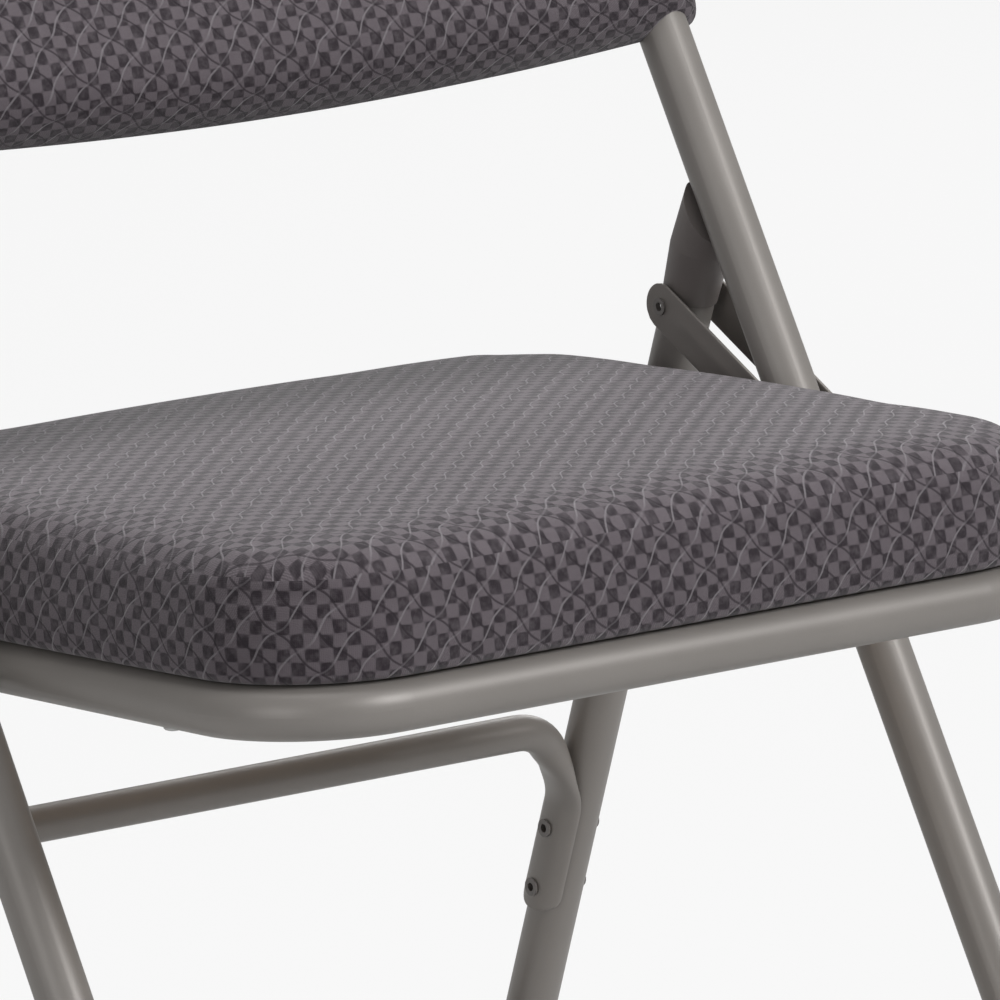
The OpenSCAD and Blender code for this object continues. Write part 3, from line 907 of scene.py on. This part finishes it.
@dataclass
class Padding:
    """Foam under a stretched cover. Local x and y lie in the outline's plane and z is the thickness."""

    name: str
    axes: Axes
    body: str
    node: str
    upright_plane: bool
    pressure: float = 4.0
    most_swell: float = 2.2 * MM
    frames: int = 20
    smoothing: int = 30
    fill: float = 0.9

    def to_local(self, points: np.ndarray) -> np.ndarray:
        """Chair points in this padding's own x, y and thickness.

        Args:
            points: points in the chair.

        Returns:
            The local points.
        """
        p = self.axes.local(points)
        return np.column_stack([p[:, 0], p[:, 2], -p[:, 1]]) if self.upright_plane else p

    def to_chair(self, local: np.ndarray) -> np.ndarray:
        """This padding's own points in the chair's places.

        Args:
            local: local points.

        Returns:
            Points in the chair.
        """
        if self.upright_plane:
            local = np.column_stack([local[:, 0], -local[:, 2], local[:, 1]])
        return self.axes.place(local)

    def swell(self, piece: bpy.types.Object, hold: np.ndarray) -> None:
        """Blows the cover up with a cloth simulation, and caps how far each point moves.

        Args:
            piece: the padding, whose mesh takes the result.
            hold: share of each vertex that stays where it is, from 0 to 1.
        """
        rest = vertices_of(piece.data)
        group = piece.vertex_groups.new(name="held")
        for level in (0.5, 1.0):
            chosen = np.nonzero(hold >= level)[0]
            group.add(chosen.tolist(), level, "REPLACE")
        cloth = piece.modifiers.new("cover", "CLOTH")
        cloth.settings.use_pressure = True
        cloth.settings.uniform_pressure_force = self.pressure
        cloth.settings.effector_weights.gravity = 0.0
        cloth.settings.vertex_group_mass = "held"
        cloth.settings.tension_stiffness = 25.0
        cloth.settings.compression_stiffness = 25.0
        cloth.settings.bending_stiffness = 2.0
        cloth.collision_settings.use_collision = False
        cloth.collision_settings.use_self_collision = False
        cloth.point_cache.frame_end = self.frames
        scene = bpy.context.scene
        for number in range(1, self.frames + 1):
            scene.frame_set(number)
        graph = bpy.context.evaluated_depsgraph_get()
        blown = vertices_of(piece.evaluated_get(graph).data)
        piece.modifiers.clear()
        piece.vertex_groups.clear()
        scene.frame_set(1)
        move = blown - rest
        ends = np.zeros(len(piece.data.edges) * 2, np.int32)
        piece.data.edges.foreach_get("vertices", ends)
        a, b = ends[0::2], ends[1::2]
        count = np.bincount(ends, minlength=len(rest))[:, None]
        for _ in range(self.smoothing):
            total = np.column_stack([np.bincount(a, move[b, k], len(rest))
                                     + np.bincount(b, move[a, k], len(rest)) for k in range(3)])
            move = 0.5 * move + 0.5 * total / count
        length = np.linalg.norm(move, axis=1)[:, None]
        capped = move * np.tanh(length / self.most_swell) * self.most_swell / np.maximum(length, 1e-9)
        piece.data.vertices.foreach_set("co", (rest + capped).ravel())
        piece.data.update()

    def finish(self, piece: bpy.types.Object, cover_uv: Callable[[np.ndarray, np.ndarray], np.ndarray],
               finishes: Finishes) -> None:
        """Args:
            piece: the padding.
            cover_uv: flat cover coordinates of each face corner, from local points and the corners'
                vertex numbers. All faces have four corners.
            finishes: the chair's materials.
        """
        rounder = piece.modifiers.new("round", "SUBSURF")
        rounder.levels = rounder.render_levels = 1
        settle(piece)
        corner = np.zeros(len(piece.data.loops), np.int32)
        piece.data.loops.foreach_get("vertex_index", corner)
        layer = piece.data.uv_layers.new(name="cover")
        layer.data.foreach_set("uv", cover_uv(self.to_local(vertices_of(piece.data)), corner).ravel())
        piece.data.polygons.foreach_set("use_smooth", np.full(len(piece.data.polygons), True))
        finishes.dress(piece, Slot.FABRIC)
        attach(piece, self.body)
        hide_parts(self.node)
        log.info("%s: %d faces", piece.name, len(piece.data.polygons))


@dataclass
class SeatPad(Padding):
    """The thick seat: a block with a soft upper roll, a low crown and a lower edge on the rails."""

    steps: int = 88
    front_corner: float = 64 * MM
    rear_corner: float = 54 * MM
    side_bow: float = 2.5 * MM
    roll: float = 17 * MM
    crown: float = 7 * MM
    tuck: float = 5 * MM
    board_gap: float = 9.8 * MM
    hem: float = 10.2 * MM
    edge: float = 32 * MM
    wall_bulge: float = 1.0 * MM

    def build(self, finishes: Finishes) -> bpy.types.Object:
        """Builds the seat padding.

        Args:
            finishes: the chair's materials.

        Returns:
            The finished piece.
        """
        low, high = extent(self.node, self.axes)
        slack = self.wall_bulge
        rim = Rim.rounded((low[0] + slack, low[1] + slack), (high[0] - slack, high[1] - slack),
                          (self.front_corner, self.rear_corner), self.steps, bow=self.side_bow)
        top, bottom = high[2] - self.crown, low[2]
        roll = arc((self.roll, top - self.roll), self.roll, 90, 180, 9)
        lead = np.column_stack([np.linspace(self.edge, self.roll, 5)[:-1], np.full(4, top)])
        wall_z = np.linspace(top - self.roll, bottom + self.tuck, 10)[1:]
        share = (top - self.roll - wall_z) / (top - self.roll - bottom - self.tuck)
        wall = np.column_stack([-slack * np.sin(np.pi * share), wall_z])
        under = arc((self.tuck, bottom + self.tuck), self.tuck, 180, 270, 5)[1:]
        pocket = np.array([[self.hem, bottom], [self.hem + 0.6 * MM, bottom + 4 * MM],
                           [self.hem + 0.8 * MM, bottom + self.board_gap],
                           [self.edge, bottom + self.board_gap]])
        surface = slab(rim, np.vstack([lead, roll, wall, under, pocket]))
        self.shape(surface.points, rim, top)
        held = 1.0 - smooth_step(surface.points[:, 2], bottom + 12 * MM, bottom + 24 * MM)
        surface.points = self.to_chair(surface.points)
        piece = surface.build(self.name)
        self.swell(piece, held)
        self.finish(piece, lambda p, corner: self.flat_cover(p, corner, rim, top), finishes)
        return piece

    def shape(self, points: np.ndarray, rim: Rim, top: float) -> None:
        """Adds the crown and the gathers below the roll at the front corners, in place.

        The crown is its height times (1 - x^2)(1 - y^2) of the shares of the way to the edges, to a
        soft power. A gather is a shallow groove that follows a bent line round the corner.

        Args:
            points: the pad's points in the seat's axes.
            rim: the seat's outline.
            top: height of the top sheet.
        """
        middle_y = (rim.points[:, 1].min() + rim.points[:, 1].max()) / 2
        half = (rim.points.max(axis=0) - rim.points.min(axis=0)) / 2
        across = np.clip(np.abs(points[:, 0]) / half[0], 0, 1)
        along = np.clip(np.abs(points[:, 1] - middle_y) / half[1], 0, 1)
        lift = self.crown * np.sqrt((1 - across ** 2.2) * (1 - along ** 2.2))
        points[:, 2] += lift * smooth_step(points[:, 2], top - 2 * self.roll, top)
        front = rim.points[:, 1].min() + self.front_corner
        for side in (-1, 1):
            centre = np.array([side * (half[0] - self.front_corner), front])
            off = points[:, :2] - centre
            angle = np.degrees(np.arctan2(-off[:, 1], side * off[:, 0]))
            line = top - 16 * MM + 3 * MM * np.sin(np.radians(angle * 3))
            near = np.exp(-((points[:, 2] - line) / (2.6 * MM)) ** 2)
            reach = smooth_step(angle, 2, 22) * (1 - smooth_step(angle, 58, 82))
            outer = smooth_step(np.linalg.norm(off, axis=1), self.front_corner - 20 * MM,
                                self.front_corner - 8 * MM)
            depth = 1.3 * MM * near * reach * outer
            direction = off / np.maximum(np.linalg.norm(off, axis=1), 1e-9)[:, None]
            points[:, :2] -= direction * depth[:, None]

    def flat_cover(self, local: np.ndarray, corner: np.ndarray, rim: Rim, top: float) -> np.ndarray:
        """Flat cloth coordinates: the plan place on top, and distance round the outline and height on
        the side band, which is a strip of its own that is sewn on under the roll.

        Args:
            local: the piece's points in the seat's axes.
            corner: vertex number of each face corner.
            rim: the seat's outline.
            top: height of the top sheet.

        Returns:
            Two coordinates for each face corner, in metres.
        """
        nearest = nearest_rim(local[:, :2], rim)
        normal = rim.normals[nearest]
        step = np.linalg.norm(np.roll(rim.points, -1, axis=0) - rim.points, axis=1)
        travelled = np.concatenate([[0.0], np.cumsum(step)[:-1]])
        off = local[:, :2] - rim.points[nearest]
        round_rim = travelled[nearest] - off[:, 0] * normal[:, 1] + off[:, 1] * normal[:, 0]
        girth = step.sum()
        back_middle = girth * 0.625
        round_rim = (round_rim - back_middle) % girth
        band = np.column_stack([round_rim, local[:, 2]])[corner].reshape(-1, 4, 2)
        band[:, :, 0] += girth * np.round((band[:, :1, 0] - band[:, :, 0]) / girth)
        plan = local[corner][:, :2].reshape(-1, 4, 2)
        height = local[corner][:, 2].reshape(-1, 4).mean(axis=1)
        on_band = height < top - 0.45 * self.roll
        return np.where(on_band[:, None, None], band, plan).reshape(-1, 2)


@dataclass
class BackPad(Padding):
    """The backrest: a curved pad with round edges and a lower edge that hangs in the middle."""

    steps: int = 84
    corner: float = 7 * MM
    top_corner: float = 26 * MM
    sag: float = 12 * MM
    rear_roll: float = 15.5 * MM
    front_roll: float = 17 * MM
    crown: float = 4.5 * MM
    edge: float = 30 * MM
    widen: float = 4.5 * MM

    def build(self, finishes: Finishes) -> bpy.types.Object:
        """Builds the backrest padding.

        Args:
            finishes: the chair's materials.

        Returns:
            The finished piece.
        """
        low, high = extent(self.node, self.axes)
        low, high = low - [self.widen, 0, 0], high + [self.widen, 0, 0]

        def ring_at(inset: float) -> np.ndarray:
            """The outline at an inset, with its tight corners opening out inwards.

            Args:
                inset: distance inside the widest outline.

            Returns:
                Points of the outline.
            """
            return self.outline(low, high, inset).points

        rim = self.outline(low, high, 0.0)
        front, rear = -low[1] - self.crown, -high[1]
        face = arc((self.front_roll, front - self.front_roll), self.front_roll, 90, 180, 9)
        lead = np.column_stack([np.linspace(self.edge, self.front_roll, 6)[:-1], np.full(5, front)])
        back = arc((self.rear_roll, rear + self.rear_roll), self.rear_roll, 180, 270, 9)
        tail = np.column_stack([np.linspace(self.rear_roll, self.edge, 6)[1:], np.full(5, rear)])
        profile = np.vstack([lead, face, back[1:] if abs(face[-1, 1] - back[0, 1]) < 1e-5 else back, tail])
        surface = slab(rim, profile, ring_at)
        middle_y = (rim.points[:, 1].min() + rim.points[:, 1].max()) / 2
        half = (rim.points.max(axis=0) - rim.points.min(axis=0)) / 2
        across = np.clip(np.abs(surface.points[:, 0]) / half[0], 0, 1)
        along = np.clip(np.abs(surface.points[:, 1] - middle_y) / half[1], 0, 1)
        lift = self.crown * np.sqrt((1 - across ** 3) * (1 - along ** 2.2))
        surface.points[:, 2] += lift * smooth_step(surface.points[:, 2], 0.0, front)
        held = 1.0 - smooth_step(surface.points[:, 2], rear + 6 * MM, 4 * MM)
        surface.points = self.to_chair(surface.points)
        piece = surface.build(self.name)
        self.swell(piece, held)
        self.finish(piece, lambda p, corner: unrolled(p, rim, front, self.front_roll)[corner], finishes)
        return piece

    def outline(self, low: np.ndarray, high: np.ndarray, inset: float) -> Rim:
        """The backrest's outline at an inset.

        Args:
            low: lowest corner of the backrest in its upright's axes.
            high: highest corner.
            inset: distance inside the widest outline.

        Returns:
            The outline, whose corner radii grow by 0.8 and 0.3 of the inset.
        """
        radii = (self.corner + 0.8 * inset, self.top_corner + 0.3 * inset)
        return Rim.rounded((low[0] + inset, low[2] + inset), (high[0] - inset, high[2] - inset), radii,
                           self.steps, sag=self.sag)


def unrolled(local: np.ndarray, rim: Rim, level: float, roll: float) -> np.ndarray:
    """Flat cloth coordinates of points on a padded block.

    The cloth lies flat on top. Past the edge its place goes on outwards along the outline's normal
    by the height that it has dropped, so the figure turns over the roll without a break.

    Args:
        local: points in the padding's own x, y and thickness.
        rim: the outline.
        level: height of the front sheet.
        roll: radius of the front roll.

    Returns:
        Two coordinates for each point, in metres.
    """
    plan = local[:, :2]
    nearest = nearest_rim(plan, rim)
    normal = rim.normals[nearest]
    depth = np.einsum("ij,ij->i", rim.points[nearest] - plan, normal)
    drop = np.maximum(level - local[:, 2], 0.0)
    share = 1.0 - smooth_step(depth, roll, roll + 25 * MM)
    return plan + normal * (drop * share)[:, None]


def nearest_rim(plan: np.ndarray, rim: Rim) -> np.ndarray:
    """Index of the outline point nearest to each plan point, worked out in blocks.

    Args:
        plan: the plan points.
        rim: the outline.

    Returns:
        One index for each plan point.
    """
    blocks = np.array_split(plan, max(1, len(plan) // 4000))
    return np.concatenate([np.argmin(((b[:, None, :] - rim.points[None]) ** 2).sum(axis=2), axis=1)
                           for b in blocks])


# ---- Steel pieces ----

@dataclass
class Brace:
    """A cross brace of round tube: its ends turn down, flatten against the legs and take two rivets."""

    name: str
    body: str
    axes: Axes
    half_width: float
    tube_r: float
    radius: float = 7.95 * MM
    bend_r: float = 24 * MM
    drop: float = 53 * MM
    rivet_gap: float = 30 * MM
    tab_end: float = 10 * MM
    tab_arc: float = 27 * MM
    tab_thick: float = 3.2 * MM
    leg_gap: float = 0.3 * MM
    hole_r: float = 2.85 * MM
    around: int = 40

    def build(self, finishes: Finishes) -> bpy.types.Object:
        """Builds the brace: a round section carried from one tab's end to the other's.

        The section goes from a circle on the bar to a flat, slightly hollow strip on the tabs.

        Args:
            finishes: the chair's materials.

        Returns:
            The finished piece.
        """
        down_x = self.half_width - self.tube_r - self.leg_gap - self.radius
        tab_x = self.half_width - self.tube_r - self.leg_gap - self.tab_thick / 2
        low = -(self.drop + self.rivet_gap + self.tab_end)
        tip = low + np.array([0.0, 0.02, 0.1, 0.25, 0.5, 0.8, 1.2, 1.8, 2.6, 3.6, 5.0, 7.0, 9.0, 11.0]) * MM
        leg = np.concatenate([tip, np.linspace(tip[-1], -self.bend_r, 30)[1:]])
        bend = np.radians(np.linspace(0, 90, 15)[1:])
        path_x = np.concatenate([np.full(len(leg), down_x), down_x - self.bend_r * (1 - np.cos(bend))])
        path_z = np.concatenate([leg, -self.bend_r * (1 - np.sin(bend))])
        lean = np.concatenate([np.zeros(len(leg)), bend])
        bar = np.linspace(path_x[-1], 0, 12)[1:-1]
        x = np.concatenate([path_x, bar])
        z = np.concatenate([path_z, np.zeros(len(bar))])
        lean = np.concatenate([lean, np.full(len(bar), math.pi / 2)])
        flat = 1.0 - smooth_step(z, -self.drop + 11 * MM, -8 * MM)
        x = x + (tab_x - down_x) * flat
        left = self.rings(-x, z, -lean, flat, low)
        right = self.rings(x, z, lean, flat, low)
        rings = np.concatenate([left, right[::-1]])
        placed = self.axes.place(rings.reshape(-1, 3)).reshape(rings.shape)
        piece = tube_surface(placed).build(self.name)
        holes = [self.axes.place(np.array([[side * tab_x, 0.0, -self.drop - k * self.rivet_gap]]))[0]
                 for side in (-1, 1) for k in (0, 1)]
        bore(piece, holes, Vector((1, 0, 0)), self.hole_r, 14 * MM)
        round_off(piece, 40.0)
        finishes.dress(piece, Slot.FRAME)
        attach(piece, self.body)
        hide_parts(self.name.replace("_tube", ""))
        log.info("%s: %d faces", piece.name, len(piece.data.polygons))
        return piece

    def rings(self, x: np.ndarray, z: np.ndarray, lean: np.ndarray, flat: np.ndarray,
              low: float) -> np.ndarray:
        """Sections along one half of the path.

        A section is an ellipse-like curve: half width times cosine across, and half thickness times
        a squared-off sine through. It is then bent round the leg: a distance a across becomes
        sin(a / R) R across and (1 - cos(a / R)) R towards the leg, where 1 / R grows from 0 on the
        round tube to the leg's own curve on the tab.

        Args:
            x: the path's x.
            z: the path's z along the leg.
            lean: turn of the path from straight up, in radians, negative on the left half.
            flat: how far the section is flattened, from 0 to 1.
            low: z of the tab's end.

        Returns:
            Array of sections, points and local coordinates.
        """
        angle = np.linspace(0, 2 * math.pi, self.around, endpoint=False)
        cosine, sine = np.cos(angle), np.sin(angle)
        side = -1.0 if x[0] < 0 else 1.0
        reach = self.tab_arc / 2
        round_end = 9 * MM
        from_end = np.clip(z - low, 0.0, round_end)
        closing = np.sqrt(np.clip(1 - ((round_end - from_end) / round_end) ** 2.4, 0.0, 1.0))
        closing = np.where(lean == 0, np.maximum(closing, 0.02), 1.0)
        half_wide = (self.radius + (reach - self.radius) * np.sqrt(flat)) * closing
        half_thick = self.radius + (self.tab_thick / 2 - self.radius) * flat
        half_thick = np.minimum(half_thick, np.maximum(half_wide, 0.0001))
        power = 1.0 - 0.45 * flat
        across = half_wide[:, None] * np.sign(cosine) * np.abs(cosine) ** power[:, None]
        through = half_thick[:, None] * np.sign(sine) * np.abs(sine) ** power[:, None]
        bend = np.maximum(flat, 1e-3)[:, None] / (self.tube_r + self.leg_gap + self.tab_thick / 2)
        hollow = (1 - np.cos(across * bend)) / bend
        across = np.sin(across * bend) / bend
        through = through + side * hollow
        turn_x, turn_z = np.cos(lean)[:, None], np.sin(np.abs(lean))[:, None] * side
        px = x[:, None] + through * turn_x
        pz = z[:, None] + through * turn_z * side
        return np.stack([px, across, pz], axis=-1)


@dataclass
class LinkPlate:
    """A pressed link plate with a rolled edge, a shallow rib and two rivet holes."""

    name: str
    body: str
    front: np.ndarray
    rear: np.ndarray
    node: str
    scallop: np.ndarray
    width: float = 20 * MM
    edge_r: float = 0.6 * MM
    rib: float = 0.9 * MM
    hole_r: float = 2.55 * MM
    scallop_r: float = 7.5 * MM

    def build(self, finishes: Finishes) -> bpy.types.Object:
        """Builds the plate.

        Args:
            finishes: the chair's materials.

        Returns:
            The finished piece.
        """
        low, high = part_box(self.node)
        span = self.rear - self.front
        length = float(np.linalg.norm(span))
        along = span / length
        up = np.array([0.0, -along[2], along[1]])
        half, thick = self.width / 2, (high[0] - low[0]) / 2
        rim = Rim.rounded((-half, -half), (length + half, half), (half - 0.01 * MM, half - 0.01 * MM), 28)
        rolled = arc((self.edge_r, thick - self.edge_r), self.edge_r, 90, 180, 4)
        rolled_low = arc((self.edge_r, self.edge_r - thick), self.edge_r, 180, 270, 4)
        profile = np.vstack([[[2.0 * MM, thick]], rolled, rolled_low, [[2.0 * MM, -thick]]])
        surface = slab(rim, profile)
        p = surface.points
        rise, fall = 9 * MM, 17 * MM
        ridge = smooth_step(p[:, 0], rise, fall) * (1 - smooth_step(p[:, 0], length - fall, length - rise))
        outward = 1.0 if "outer" in self.name else -1.0
        if self.body.endswith("left"):
            outward = -outward
        swell = self.rib * ridge * np.exp(-((p[:, 1] - 1.5 * MM) / (3.4 * MM)) ** 2)
        middle_x = (high[0] + low[0]) / 2
        out_axis = np.cross(along, up)
        x = middle_x + (p[:, 2] * out_axis[0]) + swell * outward * 0.5
        surface.points = np.column_stack([x, self.front[1] + p[:, 0] * along[1] + p[:, 1] * up[1],
                                          self.front[2] + p[:, 0] * along[2] + p[:, 1] * up[2]])
        piece = surface.build(self.name)
        centre = [np.array([middle_x, q[1], q[2]]) for q in (self.front, self.rear)]
        bore(piece, centre, Vector((1, 0, 0)), self.hole_r, 12 * MM)
        bore(piece, [np.array([middle_x, self.scallop[1], self.scallop[2]])], Vector((1, 0, 0)),
             self.scallop_r, 12 * MM)
        round_off(piece, 40.0)
        finishes.dress(piece, Slot.LINK)
        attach(piece, self.body)
        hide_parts(self.node)
        log.info("%s: %d faces", piece.name, len(piece.data.polygons))
        return piece


class Stage:
    """A pale floor, soft studio lights and the camera."""

    azimuth = 37.0
    elevation = 13.267
    distance = 4.42417
    lens = 389.06
    aim = Vector((0.048575, 0.000956, 0.427028))

    def build(self) -> None:
        """Builds the floor, the lights, the world and the camera."""
        self.floor()
        self.lights()
        self.camera()
        bpy.context.scene.view_settings.view_transform = "Standard"

    def floor(self) -> None:
        """A large pale floor that the camera sees almost white, with the chair's shadow kept."""
        size = 40.0
        corners = np.array([[-size, -size, 0], [size, -size, 0], [size, size, 0], [-size, size, 0]])
        corners[:, 2] = -0.0005
        floor = Surface(corners, [np.array([[0, 1, 2, 3]])]).build("floor", smooth=False)
        material, nodes, shader = start_material("pale_floor")
        shader.inputs["Base Color"].default_value = (0.5, 0.5, 0.5, 1.0)
        shader.inputs["Roughness"].default_value = 0.9
        path = nodes.add("ShaderNodeLightPath")
        glow = nodes.add("ShaderNodeEmission", Color=(1.0, 1.0, 1.0, 1.0), Strength=1.0)
        seen = nodes.math("MULTIPLY", path.outputs["Is Camera Ray"], 0.86)
        seen = nodes.math("MAXIMUM", seen, nodes.math("MULTIPLY", path.outputs["Is Glossy Ray"], 0.4))
        both = nodes.add("ShaderNodeMixShader")
        for index, value in enumerate((seen, shader.outputs[0], glow.outputs[0])):
            nodes.feed(both.inputs[index], value)
        output = next(n for n in material.node_tree.nodes if n.type == "OUTPUT_MATERIAL")
        nodes.feed(output.inputs["Surface"], both.outputs[0])
        floor.data.materials.append(material)

    def lights(self) -> None:
        """Soft lamps from the right, the left and above, and an even pale world."""
        world = bpy.data.worlds.new("studio")
        bpy.context.scene.world = world
        world.use_nodes = True
        nodes = Nodes(world.node_tree)
        sky = world.node_tree.nodes["Background"]
        path = nodes.add("ShaderNodeLightPath")
        nodes.feed(sky.inputs["Color"], (1.0, 1.0, 1.0, 1.0))
        seen = path.outputs["Is Camera Ray"]
        nodes.feed(sky.inputs["Strength"], nodes.math("ADD", 0.26, nodes.math("MULTIPLY", seen, 0.74)))
        lamps = (("key", (1.2, -3.0, 2.6), 1.6, 85.0), ("side", (-3.0, -1.4, 1.3), 1.4, 16.0),
                 ("top", (0.2, 0.4, 3.2), 2.0, 55.0), ("rear", (2.6, 2.4, 1.6), 1.4, 22.0))
        for name, place, size, power in lamps:
            lamp = bpy.data.lights.new(name, "AREA")
            lamp.shape = "DISK"
            lamp.size = size
            lamp.energy = power
            holder = bpy.data.objects.new(name, lamp)
            holder.location = place
            toward = Vector((0.0, 0.0, 0.4)) - Vector(place)
            holder.rotation_euler = toward.to_track_quat("-Z", "Y").to_euler()
            bpy.context.scene.collection.objects.link(holder)

    def camera(self) -> None:
        """The camera, aimed at a point of the chair from its azimuth, elevation and distance."""
        a, e = math.radians(self.azimuth), math.radians(self.elevation)
        look = Vector((math.sin(a) * math.cos(e), math.cos(a) * math.cos(e), -math.sin(e)))
        data = bpy.data.cameras.new("camera")
        data.lens = self.lens
        data.sensor_width = 36.0
        data.clip_end = 100.0
        camera = bpy.data.objects.new("camera", data)
        camera.location = self.aim - look * self.distance
        camera.rotation_euler = look.to_track_quat("-Z", "Y").to_euler()
        bpy.context.scene.collection.objects.link(camera)
        bpy.context.scene.camera = camera


class Chair:
    """The whole chair: dressed CAD nodes, and the modelled pieces that replace some of them."""

    def __init__(self) -> None:
        """Measures the places and builds the finishes."""
        self.places = Places.measured()
        self.finishes = Finishes()

    def build(self) -> None:
        """Dresses every CAD node and builds the modelled pieces."""
        for node in frame["nodes"]:
            self.finishes.dress_node(node)
        SeatPad("seat_padding", self.places.seat, "seat", "seat_cushion", False).build(self.finishes)
        BackPad("backrest_padding", self.places.upright, "main_frame", "backrest_cushion", True,
                most_swell=1.8 * MM).build(self.finishes)
        self.braces()
        self.links()
        self.seat_screws()

    def braces(self) -> None:
        """The three cross braces, each hung from its CAD node's highest line."""
        for node, axes, body in (("front_brace", self.places.upright, "main_frame"),
                                 ("upper_rear_brace", self.places.leg, "rear_legs"),
                                 ("lower_rear_brace", self.places.leg, "rear_legs")):
            bar_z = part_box(node)[1][2] - Brace.radius
            along = (bar_z - axes.origin[2]) / axes.up[2]
            Brace(node + "_tube", body, axes.moved(z=along), self.places.half_width,
                  self.places.tube_r).build(self.finishes)

    def links(self) -> None:
        """The four link plates."""
        front, rear = joint_point("link_left_fold"), middle("link_left_rear_rivets")
        fold = next(c["ratio"] for c in frame["record"]["behaviour"]["couplings"]
                    if c["joint"] == "link_left_fold")
        travel = next(j["range_deg"][1] for j in frame["joints"] if j["name"] == "seat_fold")
        turn = math.radians(travel * fold)
        pivot = joint_point("seat_fold") - front
        cosine, sine = math.cos(turn), math.sin(turn)
        scallop = front + np.array([0.0, pivot[1] * cosine - pivot[2] * sine,
                                    pivot[1] * sine + pivot[2] * cosine])
        for side in ("left", "right"):
            for face in ("inner", "outer"):
                node = f"link_{side}_{face}_plate"
                LinkPlate(f"link_{side}_{face}_pressing", f"link_{side}", front, rear, node,
                          scallop).build(self.finishes)


    def seat_screws(self) -> None:
        """The seat board's four screws, whose heads are low domes close under the rails.

        A head is a stack of rings round its screw, from a small flat up into the rail's wall.
        """
        axes = self.places.seat
        local = axes.local(vertices_of(frame["nodes"]["seat_screws"].data))
        split = (local[:, 1].min() + local[:, 1].max()) / 2
        rail = extent("seat_frame", axes)[0][2]
        around = 32
        dome = ((0.6, -1.0), (2.2, -0.9), (3.4, -0.5), (4.0, 0.1), (4.0, 1.1))
        angle = np.linspace(0, 2 * math.pi, around, endpoint=False)
        points, faces = [], []
        for right, rear in ((False, False), (False, True), (True, False), (True, True)):
            own = local[((local[:, 0] > 0) == right) & ((local[:, 1] > split) == rear)]
            centre = (own.min(axis=0) + own.max(axis=0)) / 2
            rings = [np.column_stack([centre[0] + radius * MM * np.cos(angle),
                                      centre[1] + radius * MM * np.sin(angle),
                                      np.full(around, rail + height * MM)]) for radius, height in dome]
            head = tube_surface(np.stack(rings))
            faces += [part + sum(map(len, points)) for part in head.faces]
            points.append(axes.place(head.points))
        piece = Surface(np.vstack(points), faces).build("seat_screw_heads")
        self.finishes.dress(piece, Slot.ZINC)
        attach(piece, "seat")
        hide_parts("seat_screws")
        log.info("%s: %d faces", piece.name, len(piece.data.polygons))


def main() -> None:
    """Builds the chair and its stage."""
    logging.basicConfig(level=logging.INFO)
    Stage().build()
    Chair().build()


if __name__ == "__main__":
    main()
